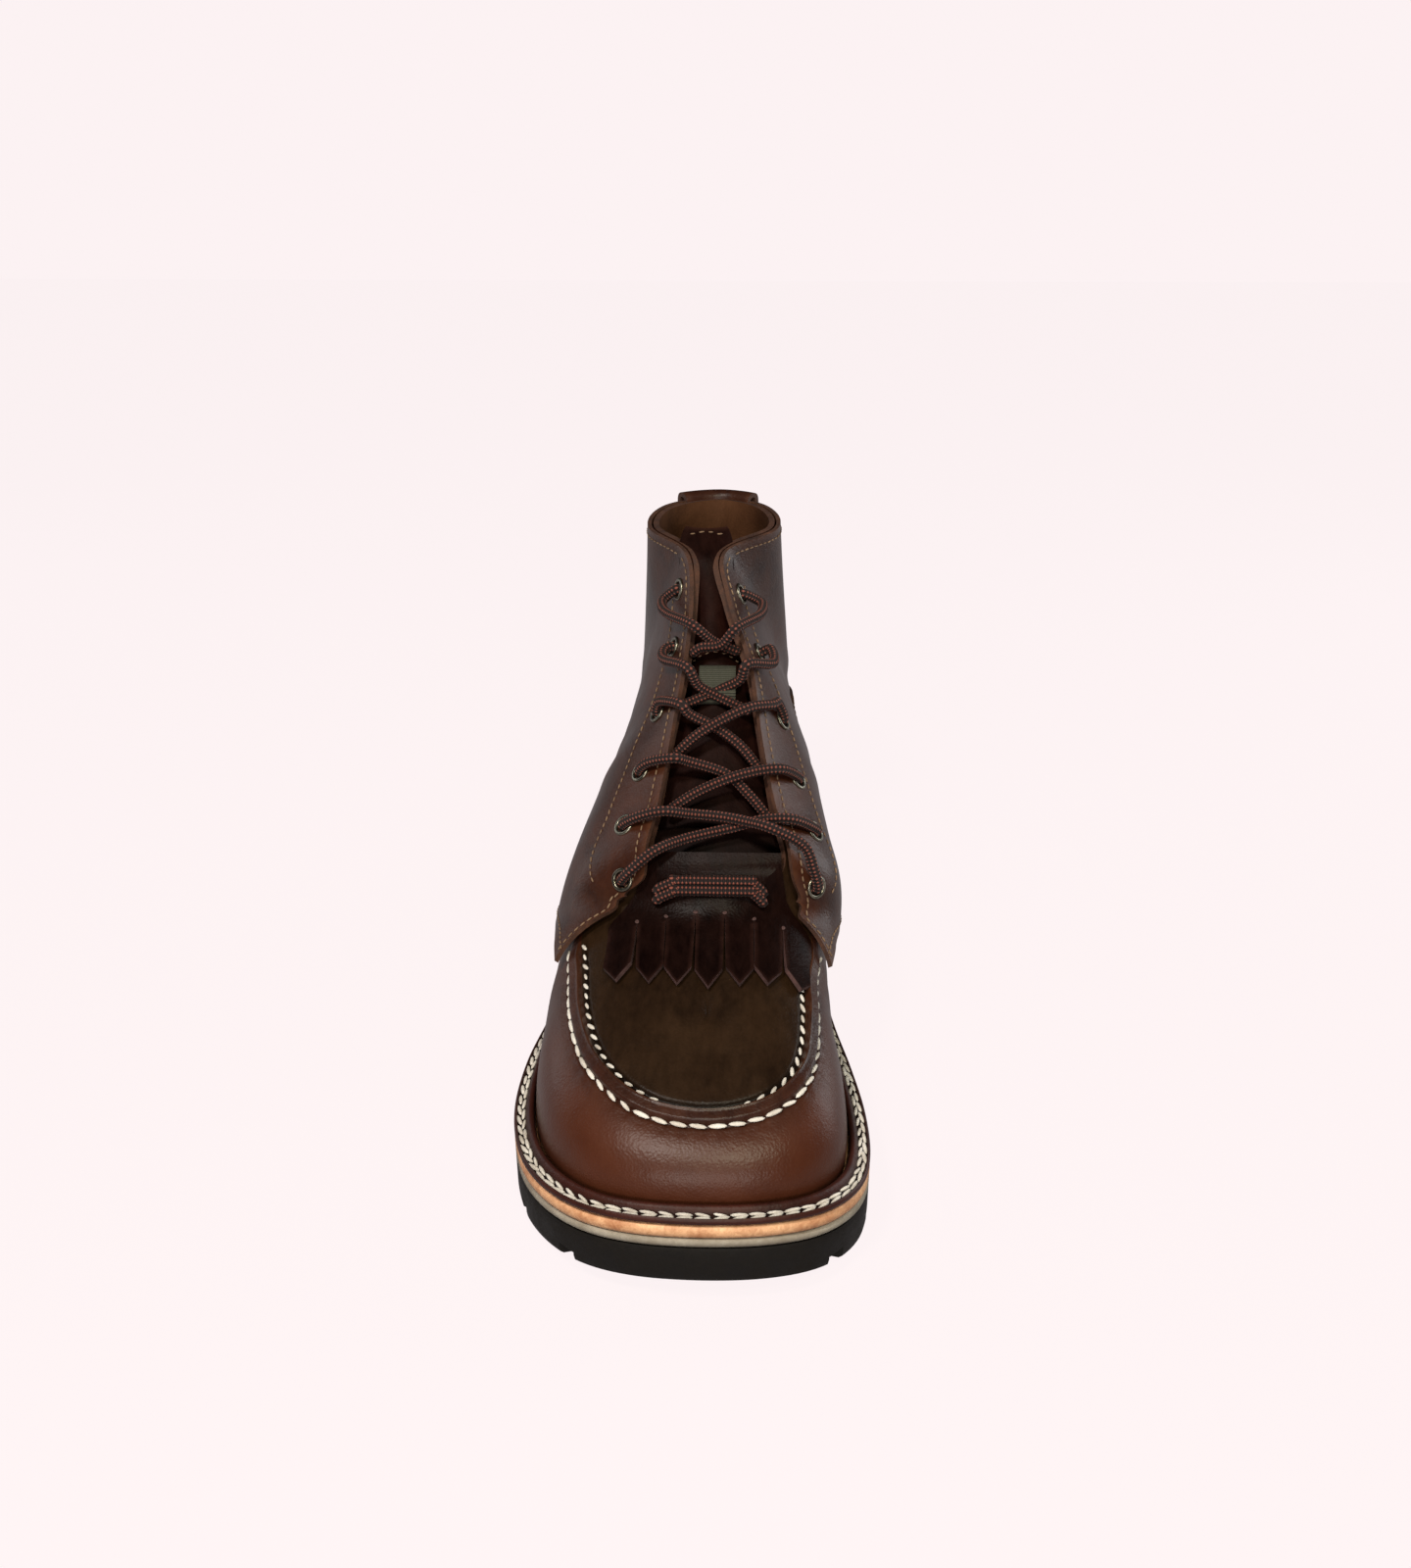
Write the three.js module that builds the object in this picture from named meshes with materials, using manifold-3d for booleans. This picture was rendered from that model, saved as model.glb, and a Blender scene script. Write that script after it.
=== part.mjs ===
// A moc-toe lace-up boot for the right foot, with a fringed kiltie, in millimetres.
// +Z is up, the toe points along -Y, the heel along +Y, and +X is the medial side.
// The upper is one hollow shell over the last. Every overlay is cut from the same skin of the last.
import * as THREE from "three";
import { mergeVertices } from "three/addons/utils/BufferGeometryUtils.js";
import Module from "manifold-3d";

const wasm = await Module();
wasm.setup();

// Driving sizes of the last
const LENGTH = 292; // of the outsole
const BALL_WIDTH = 112; // the width that the table's widths are shares of
const COLLAR_HEIGHT = 170; // from the floor
const TOE_SPRING = 9;
const SPRING_LENGTH = 60;
const HEEL_RISE = 16; // how much the heel stands above the ball
const ARCH_START = 125; // from the toe
const HEEL_START = 206; // from the toe, where the heel block begins

// Layers of the sole
const OUTSOLE_THICK = 12.6;
const LUG_DEPTH = 4.5;
const SLIP_THICK = 3;
const MIDSOLE_THICK = 4.6;
const WELT_THICK = 2.8;
const WELT_RIB = 1.8; // the storm rib above the welt
const WELT_RIB_WIDE = 2.6;
const INSOLE_THICK = 4;
const LEDGE_TOE = 8; // how far the sole stands out from the upper
const LEDGE_HEEL = 6;

// Leathers
const GAP = 0.3; // between pieces that touch
const SKIN_GAP = 0.7; // between leathers that follow the skin
const UPPER_WALL = 2.2;
const OVERLAY = 1.6;
const KILTIE_THICK = 1.5;
const TONGUE_THICK = 3;
const RIDGE_HEIGHT = 2; // of the hand-sewn seam around the plug
const RIDGE_WIDE = 4;
const FLAP_LIFT = 2.6; // how far the flaps stand off the vamp, over the kiltie

// Lacing
const EYELETS = 6; // a side
const EYELET_WIDE = 8.6;
const EYELET_HOLE = 4.9;
const EYELET_WALL = 0.45;
const EYELET_DEEP = 3.4;
const EYELET_INSET_LATERAL = 11; // from the facing's edge, along the rib
const EYELET_INSET_MEDIAL = 14.5;
const LACE = 4.4;
const LACE_LIFT = LACE / 2 + 1;
const LACE_TUCK = 0.6; // how far down to the next row a strand goes under the facing, as a share
const BAR_Y = 104; // the bar over the kiltie, from the toe
const BAR_HALF = 13;

// Kiltie
const TAILS = 7;
const KILTIE_WIDE = 64;
const KILTIE_TIP = 69; // the middle tail's point, from the toe
const KILTIE_TOP = 110;
const KILTIE_GAP = 0.9;
const KILTIE_NARROW = 0.36; // its width at the top, as a share
const TAIL_LONG = 20;
const TAIL_SHORTER = 4; // how much shorter the outer tails are cut
const POINT_LONG = 7;
const SLIT = 0.6;

// Tongue and its tab
const TONGUE_FOOT = 6.4; // in ribs
const TONGUE_END = 12.9; // in ribs
const TONGUE_UNDER = 0.17; // how far it reaches under each facing, as a share of the rib
const TONGUE_RISE = 13; // how far it stands up past its last rib
const TAB_WIDE = 13;
const TAB_LONG = 15;
const TAB_THICK = 1.2;
const TAB_PLACE = 10.9; // in ribs

// Pull tab at the heel
const PULL_HALF = 0.62; // in ribs
const PULL_RISE = 5;
const PULL_THICK = 1.8;
const PULL_DOWN = 20;
const PULL_INSIDE = 12;

// Tread
const TREAD_PITCH = 21;
const TREAD_FRONT = 14; // the first groove, from the toe
const TREAD_END = 34; // how far in front of the heel the grooves stop
const GROOVE_WIDE = 5.5;
const GROOVE_LONG = 34.7; // of a side groove, half of it inside the edge
const GROOVE_TURN = 0.3;
const MIDDLE_GROOVE = 28;
const HEEL_GROOVES = [22, 44, 64]; // behind the heel's front edge

// The skin of the last. Each row is one rib, from its foot at the sole to its top at the centre line of
// the plug, at the facing's edge or at the collar. Y is a share of LENGTH, from the toe. Widths are
// shares of BALL_WIDTH. topZ is a share of COLLAR_HEIGHT. rise and drop are shares of the rib's height
// and pull of its spread. flare and the bulges are shares of BALL_WIDTH, outwards from the sole's outline.
const NAMES = [
  "footY", "footLateral", "footMedial", "topY", "topZ", "topLateral", "topMedial",
  "rise", "flare", "pull", "bulgeLateral", "bulgeMedial", "drop",
];
const RIBS = [
  [0.027, 0.0, 0.0, 0.212, 0.35, 0.0, 0.0, 0.65, 0.018, 0.6, 0.0, 0.0, 0.27],
  [0.032, 0.158, 0.149, 0.219, 0.353, 0.0, 0.0, 0.65, 0.018, 0.6, 0.0, 0.0, 0.25],
  [0.05, 0.281, 0.272, 0.229, 0.359, 0.0, 0.0, 0.68, 0.018, 0.6, 0.0, 0.0, 0.2],
  [0.087, 0.382, 0.355, 0.243, 0.368, 0.0, 0.0, 0.7, 0.018, 0.62, 0.0, 0.0, 0.15],
  [0.137, 0.453, 0.388, 0.26, 0.376, 0.0, 0.0, 0.68, 0.014, 0.66, 0.0, 0.0, 0.1],
  [0.205, 0.492, 0.39, 0.281, 0.39, 0.0, 0.0, 0.7, 0.014, 0.72, 0.0, 0.0, 0.08],
  [0.281, 0.49, 0.366, 0.305, 0.408, 0.0, 0.0, 0.72, 0.024, 0.78, 0.02, 0.02, 0.1],
  [0.356, 0.46, 0.333, 0.332, 0.432, 0.0, 0.0, 0.73, 0.055, 0.8, 0.08, 0.11, 0.08],
  [0.432, 0.426, 0.307, 0.366, 0.5, 0.167, 0.202, 0.64, 0.07, 0.55, 0.13, 0.16, 0.13],
  [0.514, 0.388, 0.28, 0.425, 0.594, 0.145, 0.171, 0.6, 0.07, 0.5, 0.185, 0.2, 0.2],
  [0.599, 0.352, 0.272, 0.49, 0.694, 0.118, 0.136, 0.58, 0.07, 0.45, 0.175, 0.2, 0.28],
  [0.685, 0.329, 0.275, 0.555, 0.806, 0.083, 0.101, 0.5, 0.057, 0.45, 0.118, 0.15, 0.36],
  [0.767, 0.316, 0.281, 0.616, 0.918, 0.066, 0.03, 0.44, 0.04, 0.45, 0.079, 0.115, 0.37],
  [0.846, 0.294, 0.268, 0.661, 1.0, 0.088, 0.015, 0.4, 0.03, 0.4, 0.066, 0.1, 0.36],
  [0.92, 0.241, 0.224, 0.753, 1.012, 0.218, 0.185, 0.36, 0.04, 0.35, 0.026, 0.04, 0.36],
  [0.965, 0.136, 0.127, 0.856, 1.014, 0.18, 0.155, 0.32, 0.053, 0.3, 0.0, 0.0, 0.36],
  [0.98, 0.0, 0.0, 0.902, 1.014, 0.0, 0.0, 0.3, 0.061, 0.1, -0.035, -0.035, 0.36],
].map((row) => Object.fromEntries(NAMES.map((name, i) => [name, row[i]])));
const LAST_RIB = RIBS.length - 1; // the centre line of the heel
const THROAT_RIB = 7; // the last rib that reaches the centre line of the plug
const CORNER_RIB = 13; // the front corner of the collar
const ODD = /^(foot|top)(Lateral|Medial)/; // these columns change sign across the centre line

// Places on the ribs: how far from the toe, in ribs, and how far up the rib
const SEAM_UP = 0.53; // the hand-sewn seam
const SEAM_END = 6.6;
const FLAP_TIP = { rib: 6.4, up: 0.46 };
const FACING_FOOT = 7.5; // the lowest point of the facing's edge, in ribs
const QUARTER_FOOT = 11.2; // where the quarter's lower edge reaches the sole
const COUNTER_FRONT = 10.9;
const COUNTER_UP = 0.4;
const BACKSTAY_HALF = 0.5; // in ribs
const BACK_SEAM = 0.03; // in ribs, from the centre line of the heel to the edge of a quarter
const EYELET_FIRST = 12.6; // the top eyelet
const EYELET_LAST = 7.85;
const EYELET_BOW = 0.18; // how far the middle ones lie below even steps

const LATERAL = -1;
const MEDIAL = 1;
const UP = new THREE.Vector3(0, 0, 1);

// Height of the sole's underside above the floor, without the heel block
function soleLine(y) {
  const spring = Math.max(0, 1 - y / SPRING_LENGTH) ** 2 * TOE_SPRING;
  return spring + HEEL_RISE * THREE.MathUtils.smoothstep(y, ARCH_START, HEEL_START);
}
const slipBottom = (y) => soleLine(y) + OUTSOLE_THICK + GAP;
const midsoleBottom = (y) => slipBottom(y) + SLIP_THICK + GAP;
const midsoleTop = (y) => midsoleBottom(y) + MIDSOLE_THICK;
const featherZ = (y) => midsoleTop(y) + SKIN_GAP;

// A column of the table at any place between two ribs, by a Catmull-Rom curve
function column(name, place) {
  const value = (i) => {
    const j = i < 0 ? -i : i > LAST_RIB ? 2 * LAST_RIB - i : i;
    return j !== i && ODD.test(name) ? -RIBS[j][name] : RIBS[j][name];
  };
  const i = Math.min(Math.floor(place), LAST_RIB - 1);
  const f = place - i;
  const [a, b, c, d] = [value(i - 1), value(i), value(i + 1), value(i + 2)];
  return b + 0.5 * f * (c - a + f * (2 * a - 5 * b + 4 * c - d + f * (3 * (b - c) + d - a)));
}

function foot(side, place) {
  const wide = column(side === MEDIAL ? "footMedial" : "footLateral", place);
  return new THREE.Vector2(side * Math.max(0, wide) * BALL_WIDTH, column("footY", place) * LENGTH);
}

// Outwards from the sole's outline, in plan
function outwards(side, place) {
  const step = 0.01;
  if (place < step) return new THREE.Vector2(0, -1);
  if (place > LAST_RIB - step) return new THREE.Vector2(0, 1);
  const along = foot(side, place + step).sub(foot(side, place - step)).normalize();
  return new THREE.Vector2(side * along.y, -side * along.x);
}

function soleEdge(side, place, more = 0) {
  const ledge = THREE.MathUtils.lerp(LEDGE_TOE, LEDGE_HEEL, place / LAST_RIB);
  return foot(side, place).addScaledVector(outwards(side, place), ledge + more);
}

// The skin: a point on a rib, by one cubic Bezier curve from its foot to its top
function skin(side, place, up) {
  const start = foot(side, place);
  const out = outwards(side, place);
  const low = featherZ(start.y);
  const topX = Math.max(0, column(side === MEDIAL ? "topMedial" : "topLateral", place));
  const a = new THREE.Vector3(start.x, start.y, low);
  const d = new THREE.Vector3(
    place <= THROAT_RIB ? 0 : side * topX * BALL_WIDTH,
    column("topY", place) * LENGTH,
    column("topZ", place) * COLLAR_HEIGHT,
  );
  const tall = d.z - low;
  const flare = column("flare", place) * BALL_WIDTH;
  const bulge = column(side === MEDIAL ? "bulgeMedial" : "bulgeLateral", place) * BALL_WIDTH;
  const pull = column("pull", place);
  const b = new THREE.Vector3(out.x, out.y, 0).multiplyScalar(flare).add(a);
  b.z += column("rise", place) * tall;
  const c = d.clone().lerp(new THREE.Vector3(a.x, a.y, d.z), pull);
  c.addScaledVector(new THREE.Vector3(out.x, out.y, 0), bulge);
  c.z -= column("drop", place) * tall;
  return new THREE.CubicBezierCurve3(a, b, c, d).getPoint(up);
}

function skinNormal(side, place, up) {
  const step = 0.02;
  const p = THREE.MathUtils.clamp(place, step, LAST_RIB - step);
  const u = THREE.MathUtils.clamp(up, step, 1 - step);
  const along = skin(side, p + step, u).sub(skin(side, p - step, u));
  const rise = skin(side, p, u + step).sub(skin(side, p, u - step));
  const normal = along.cross(rise).multiplyScalar(side);
  if (p !== place) normal.x = 0;
  return normal.normalize();
}

// Sheets. A sheet is a list of points and triangles, closed into a solid between two offsets.
const range = (from, to, steps) =>
  Array.from({ length: steps + 1 }, (_, i) => from + ((to - from) * i) / steps);

class Sheet {
  constructor() {
    this.points = [];
    this.raises = [];
    this.faces = [];
    this.known = new Map();
  }

  vertex({ point, raise = 0 }) {
    const key = point.toArray().map((v) => Math.round(v * 100)).join();
    if (!this.known.has(key)) {
      this.known.set(key, this.points.length);
      this.points.push(point);
      this.raises.push(raise);
    }
    return this.known.get(key);
  }

  face(a, b, c) {
    if (a !== b && b !== c && a !== c) this.faces.push([a, b, c]);
  }

  // A grid of quads, at(i, j) with i along and j up; flip turns the faces round
  grid(along, rise, at, flip) {
    const ids = along.map((i) => rise.map((j) => this.vertex(at(i, j))));
    for (let i = 0; i + 1 < along.length; i++)
      for (let j = 0; j + 1 < rise.length; j++) {
        const [a, b, c, d] = [ids[i][j], ids[i + 1][j], ids[i + 1][j + 1], ids[i][j + 1]];
        const [p, q, r, s] = flip ? [d, c, b, a] : [a, b, c, d];
        this.face(p, q, r);
        this.face(p, r, s);
      }
    return this;
  }

  normals() {
    const sum = this.points.map(() => new THREE.Vector3());
    for (const [a, b, c] of this.faces) {
      const [pa, pb, pc] = [a, b, c].map((i) => this.points[i]);
      const n = pb.clone().sub(pa).cross(pc.clone().sub(pa));
      for (const i of [a, b, c]) sum[i].add(n);
    }
    return sum.map((n) => n.normalize());
  }

  // The closed solid from `low` to `high` along the normals, each a number or a function of the raise
  solid(low, high) {
    const offset = (amount, raise) => (typeof amount === "function" ? amount(raise) : amount);
    const normals = this.normals();
    const layer = (amount) =>
      this.points.map((p, i) => p.clone().addScaledVector(normals[i], offset(amount, this.raises[i])));
    const all = [...layer(low), ...layer(high)];
    const count = this.points.length;
    const index = [];
    const open = new Map();
    for (const [a, b, c] of this.faces) {
      index.push(c, b, a, a + count, b + count, c + count);
      for (const [p, q] of [[a, b], [b, c], [c, a]]) {
        const back = q + "," + p;
        if (open.has(back)) open.delete(back);
        else open.set(p + "," + q, [p, q]);
      }
    }
    for (const [p, q] of open.values()) index.push(p, q, q + count, p, q + count, p + count);
    return geometryFrom(all.flatMap((p) => p.toArray()), index);
  }
}

function geometryFrom(positions, index) {
  const made = new THREE.BufferGeometry();
  made.setAttribute("position", new THREE.Float32BufferAttribute(positions, 3));
  made.setIndex(index);
  return made;
}

// Booleans
function toManifold(geometry) {
  const plain = geometry.clone();
  plain.deleteAttribute("normal");
  plain.deleteAttribute("uv");
  const merged = mergeVertices(plain, 1e-3);
  return new wasm.Manifold(
    new wasm.Mesh({
      numProp: 3,
      vertProperties: new Float32Array(merged.attributes.position.array),
      triVerts: new Uint32Array(merged.index.array),
    }),
  );
}

function fromManifold(solid) {
  const mesh = solid.getMesh();
  return geometryFrom(Array.from(mesh.vertProperties), Array.from(mesh.triVerts));
}

function cut(geometry, tools) {
  return fromManifold(tools.reduce((rest, tool) => rest.subtract(toManifold(tool)), toManifold(geometry)));
}

function join(first, ...others) {
  return fromManifold(others.reduce((all, other) => all.add(toManifold(other)), toManifold(first)));
}

// The same shape with its shared vertices merged, before it is turned to its place
const sealed = (geometry) => fromManifold(toManifold(geometry));

// A cylinder or any other shape made about +Z, turned to stand along a direction at a place
function stand(geometry, place, direction) {
  const turn = new THREE.Quaternion().setFromUnitVectors(UP, direction);
  return geometry.clone().applyQuaternion(turn).translate(place.x, place.y, place.z);
}

// Layers of the sole: a ladder of cross lines from the lateral edge to the medial edge
function slab(places, edge, bottom, top, step = 0) {
  const positions = [];
  const index = [];
  for (const place of places)
    for (const side of [LATERAL, MEDIAL])
      for (const [height, inset] of [[bottom, step], [top, 0]]) {
        const p = edge(side, place, -inset);
        positions.push(p.x, p.y, height(p.y));
      }
  const at = (row, side, level) => row * 4 + side * 2 + level;
  for (let r = 0; r + 1 < places.length; r++)
    for (const [a, b, c, d] of [
      [at(r, 0, 1), at(r, 1, 1), at(r + 1, 1, 1), at(r + 1, 0, 1)],
      [at(r, 0, 0), at(r + 1, 0, 0), at(r + 1, 1, 0), at(r, 1, 0)],
      [at(r, 0, 0), at(r, 0, 1), at(r + 1, 0, 1), at(r + 1, 0, 0)],
      [at(r, 1, 0), at(r + 1, 1, 0), at(r + 1, 1, 1), at(r, 1, 1)],
    ])
      index.push(a, b, c, a, c, d);
  const end = places.length - 1;
  for (const [a, b, c, d] of [
    [at(0, 0, 0), at(0, 1, 0), at(0, 1, 1), at(0, 0, 1)],
    [at(end, 0, 0), at(end, 0, 1), at(end, 1, 1), at(end, 1, 0)],
  ])
    index.push(a, b, c, a, c, d);
  return geometryFrom(positions, index);
}

const SOLE_STEPS = 30;
const TINY = 0.04; // of a rib, so that the ladder's first line has a width
const wholeSole = range(TINY, LAST_RIB - TINY, SOLE_STEPS);

// A groove across the sole's underside, at a place along it and turned about Z
function groove(y, x, long, turn, floor) {
  const box = new THREE.BoxGeometry(long, GROOVE_WIDE, 2 * LUG_DEPTH);
  return box.rotateZ(turn).translate(x, y, floor);
}

function placeAt(y) {
  let [low, high] = [0, LAST_RIB];
  for (let i = 0; i < 30; i++) {
    const middle = (low + high) / 2;
    if (column("footY", middle) * LENGTH < y) low = middle;
    else high = middle;
  }
  return low;
}

function outsole() {
  const underside = (y) => {
    const heel = THREE.MathUtils.smoothstep(y, HEEL_START - 14, HEEL_START - 4);
    return soleLine(y) + LUG_DEPTH * heel;
  };
  const body = slab(wholeSole, soleEdge, underside, (y) => soleLine(y) + OUTSOLE_THICK);
  const grooves = [];
  for (let y = TREAD_FRONT; y < HEEL_START - TREAD_END; y += TREAD_PITCH) {
    const [a, b] = [LATERAL, MEDIAL].map((side) => soleEdge(side, placeAt(y)).x);
    const between = y + TREAD_PITCH / 2;
    grooves.push(groove(y, a, GROOVE_LONG, GROOVE_TURN, soleLine(y)));
    grooves.push(groove(y, b, GROOVE_LONG, -GROOVE_TURN, soleLine(y)));
    grooves.push(groove(between, (a + b) / 2, MIDDLE_GROOVE, 0, soleLine(between)));
  }
  return cut(body, grooves);
}

function heel() {
  const back = range(placeAt(HEEL_START), LAST_RIB - TINY, 14);
  const top = (y) => soleLine(y) + LUG_DEPTH - GAP;
  const block = slab(back, soleEdge, () => 0, top);
  const grooves = [];
  for (const behind of HEEL_GROOVES)
    for (const side of [LATERAL, MEDIAL]) {
      const y = HEEL_START + behind;
      grooves.push(groove(y, soleEdge(side, placeAt(y)).x, GROOVE_LONG, 0, 0));
    }
  return cut(block, grooves);
}

const slipLayer = () => slab(wholeSole, soleEdge, slipBottom, (y) => slipBottom(y) + SLIP_THICK);
const midsole = () => slab(wholeSole, soleEdge, midsoleBottom, midsoleTop);

function insole() {
  const edge = (side, place) =>
    foot(side, place).addScaledVector(outwards(side, place), -UPPER_WALL - 4 * GAP);
  return slab(wholeSole.slice(1, -1), edge, featherZ, (y) => featherZ(y) + INSOLE_THICK);
}

// The welt: a flat ledge with a rib against the upper, one closed ring
function welt() {
  const positions = [];
  const index = [];
  const ends = (side) => wholeSole.map((place) => [side, place]);
  const loop = [[LATERAL, 0], ...ends(LATERAL), [LATERAL, LAST_RIB], ...ends(MEDIAL).reverse()];
  const wallAt = (side, place, high) => {
    const low = foot(side, place);
    const tall = column("topZ", place) * COLLAR_HEIGHT - featherZ(low.y);
    const lean = (column("flare", place) * BALL_WIDTH) / (column("rise", place) * tall);
    return lean * high + 2 * GAP;
  };
  for (const [side, place] of loop) {
    const out = outwards(side, place);
    const start = foot(side, place);
    const outer = soleEdge(side, place).sub(start).length();
    const ribTop = WELT_THICK + WELT_RIB;
    const shape = [
      [2 * GAP, GAP],
      [outer, GAP],
      [outer, WELT_THICK],
      [wallAt(side, place, ribTop) + WELT_RIB_WIDE, WELT_THICK],
      [wallAt(side, place, ribTop), ribTop],
    ];
    for (const [across, high] of shape) {
      const p = start.clone().addScaledVector(out, across);
      positions.push(p.x, p.y, midsoleTop(p.y) + high);
    }
  }
  const corners = 5;
  for (let i = 0; i < loop.length; i++)
    for (let j = 0; j < corners; j++) {
      const [n, m] = [(i + 1) % loop.length, (j + 1) % corners];
      const [a, b, c, d] = [i * corners + j, i * corners + m, n * corners + m, n * corners + j];
      index.push(a, b, c, a, c, d);
    }
  return geometryFrom(positions, index);
}

// Smooth steps along the boot and up its wall
const smooth = THREE.MathUtils.smoothstep;

// The upper
const UPPER_ALONG = [
  0, 0.5, 1.1, 1.8, 2.6, 3.5, 4.4, 5.3, 6.2, 7, 7.5, 8, 8.8, 9.6, 10.4, 11.2, 12, 12.5, 13, 13.5, 14,
  14.5, 15, 15.35, 15.7, LAST_RIB,
];
const BELOW_SEAM = [0, 0.13, 0.27, 0.4];
const ABOVE_SEAM = [0.66, 0.78, 0.89, 1];
function upperTop(place) {
  const opens = smooth(place, THROAT_RIB, THROAT_RIB + 0.6);
  const closes = 1 - smooth(place, CORNER_RIB - 1.2, CORNER_RIB);
  return 1 - 0.05 * opens * closes;
}

function ridge(place, up) {
  const fade = 1 - smooth(place, SEAM_END - 0.5, SEAM_END);
  const from = skin(LATERAL, place, SEAM_UP - 0.02);
  const across = skin(LATERAL, place, SEAM_UP + 0.02).distanceTo(from) / 0.04;
  const off = (Math.abs(up - SEAM_UP) * across) / (RIDGE_WIDE / 2);
  return fade * RIDGE_HEIGHT * (1 - smooth(off, 0.6, 1));
}

function ridgeLevels(place) {
  const from = skin(LATERAL, place, SEAM_UP - 0.02);
  const across = skin(LATERAL, place, SEAM_UP + 0.02).distanceTo(from) / 0.04;
  const half = RIDGE_WIDE / 2 / across;
  return [SEAM_UP - half, SEAM_UP - 0.6 * half, SEAM_UP + 0.6 * half, SEAM_UP + half];
}

function upperSheet() {
  const sheet = new Sheet();
  const levels = BELOW_SEAM.length + 4 + ABOVE_SEAM.length;
  const at = (side) => (place, level) => {
    const ups = [...BELOW_SEAM, ...ridgeLevels(place), ...ABOVE_SEAM];
    const up = ups[level] * upperTop(place);
    return { point: skin(side, place, up), raise: ridge(place, ups[level]) };
  };
  const rows = Array.from({ length: levels }, (_, i) => i);
  sheet.grid(UPPER_ALONG, rows, at(LATERAL), true);
  sheet.grid(UPPER_ALONG, rows, at(MEDIAL), false);
  return sheet;
}

// Eyelets
function eyeletPlace(i) {
  const down = i / (EYELETS - 1);
  return THREE.MathUtils.lerp(EYELET_FIRST, EYELET_LAST, down) - 4 * EYELET_BOW * down * (1 - down);
}
function eyeletSeat(side, i) {
  const place = eyeletPlace(i);
  const tenth = skin(side, place, 1).distanceTo(skin(side, place, 0.9));
  const inset = side === MEDIAL ? EYELET_INSET_MEDIAL : EYELET_INSET_LATERAL;
  const up = 1 - (0.1 * inset) / tenth;
  return {
    point: skin(side, place, up).addScaledVector(skinNormal(side, place, up), flapOffset(place)),
    normal: skinNormal(side, place, up),
  };
}
function eyeletHoles(side) {
  const holeRadius = EYELET_HOLE / 2 + EYELET_WALL + GAP;
  const drill = new THREE.CylinderGeometry(holeRadius, holeRadius, 24, 8).rotateX(Math.PI / 2);
  return Array.from({ length: EYELETS }, (_, i) => {
    const { point, normal } = eyeletSeat(side, i);
    return stand(drill, point, normal);
  });
}
function eyelet(side, i) {
  const { point, normal } = eyeletSeat(side, i);
  const inner = EYELET_HOLE / 2;
  const barrel = inner + EYELET_WALL;
  const rim = EYELET_WIDE / 2;
  const seat = OVERLAY + 2 * GAP;
  const profile = [
    [inner, seat - EYELET_DEEP],
    [barrel, seat - EYELET_DEEP],
    [barrel, seat],
    [rim, seat],
    [(rim + inner) / 2, seat + 1],
    [inner, seat + 0.4],
    [inner, seat - EYELET_DEEP],
  ].map(([r, z]) => new THREE.Vector2(r, z));
  const ring = new THREE.LatheGeometry(profile, 8).rotateX(Math.PI / 2);
  return stand(sealed(ring), point, normal);
}

// The quarters, from the facing's edge round to the centre line of the heel
function aboveWelt(place) {
  const start = foot(LATERAL, place);
  const tall = column("topZ", place) * COLLAR_HEIGHT - featherZ(start.y);
  return (WELT_THICK + WELT_RIB + 2 * GAP) / (3 * column("rise", place) * tall);
}
function quarterLow(place) {
  const down = smooth(place, FLAP_TIP.rib, QUARTER_FOOT);
  return THREE.MathUtils.lerp(FLAP_TIP.up, aboveWelt(place), down);
}
function flapOffset(place) {
  return SKIN_GAP + FLAP_LIFT * (1 - smooth(place, 8, 10));
}
function quarterSheet(side) {
  const sheet = new Sheet();
  const front = (up) => {
    const rise = Math.max(0, (up - FLAP_TIP.up) / (1 - FLAP_TIP.up));
    return THREE.MathUtils.lerp(FLAP_TIP.rib, FACING_FOOT, rise ** 0.8);
  };
  const at = (column, level) => {
    const place = Math.max(front(level), column);
    const up = Math.max(quarterLow(place), level);
    return { point: skin(side, place, up), raise: flapOffset(place) };
  };
  const columns = UPPER_ALONG.filter((place) => place > FLAP_TIP.rib);
  columns.unshift(FLAP_TIP.rib);
  columns[columns.length - 1] = LAST_RIB - BACK_SEAM;
  sheet.grid(columns, [...BELOW_SEAM, SEAM_UP, ...ABOVE_SEAM], at, side === LATERAL);
  return sheet;
}
function quarter(side) {
  const shell = quarterSheet(side).solid((raise) => raise, (raise) => raise + OVERLAY);
  return cut(shell, eyeletHoles(side));
}
function upper() {
  const shell = upperSheet().solid(-UPPER_WALL, (raise) => raise);
  return cut(shell, [...eyeletHoles(LATERAL), ...eyeletHoles(MEDIAL)]);
}

// The counter cover and the backstay, one over each other's joint at the heel
const backOffset = OVERLAY + 2 * SKIN_GAP;
function wrap(half, low, high, rows) {
  const sheet = new Sheet();
  const columns = UPPER_ALONG.filter((place) => place > LAST_RIB - half);
  columns.unshift(LAST_RIB - half);
  for (const side of [LATERAL, MEDIAL])
    sheet.grid(
      columns,
      range(0, 1, rows),
      (place, rise) => ({ point: skin(side, place, THREE.MathUtils.lerp(low(place), high(place), rise)) }),
      side === LATERAL,
    );
  return sheet.solid(backOffset, backOffset + OVERLAY);
}
function counter() {
  const half = LAST_RIB - COUNTER_FRONT;
  const high = (place) => {
    const front = 1 - smooth(place, COUNTER_FRONT, COUNTER_FRONT + 2.6);
    return COUNTER_UP * (1 - 0.62 * front);
  };
  return wrap(half, () => 0.07, high, 4);
}
const backstay = () => wrap(BACKSTAY_HALF, () => COUNTER_UP + 0.006, () => 0.97, 6);

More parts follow.
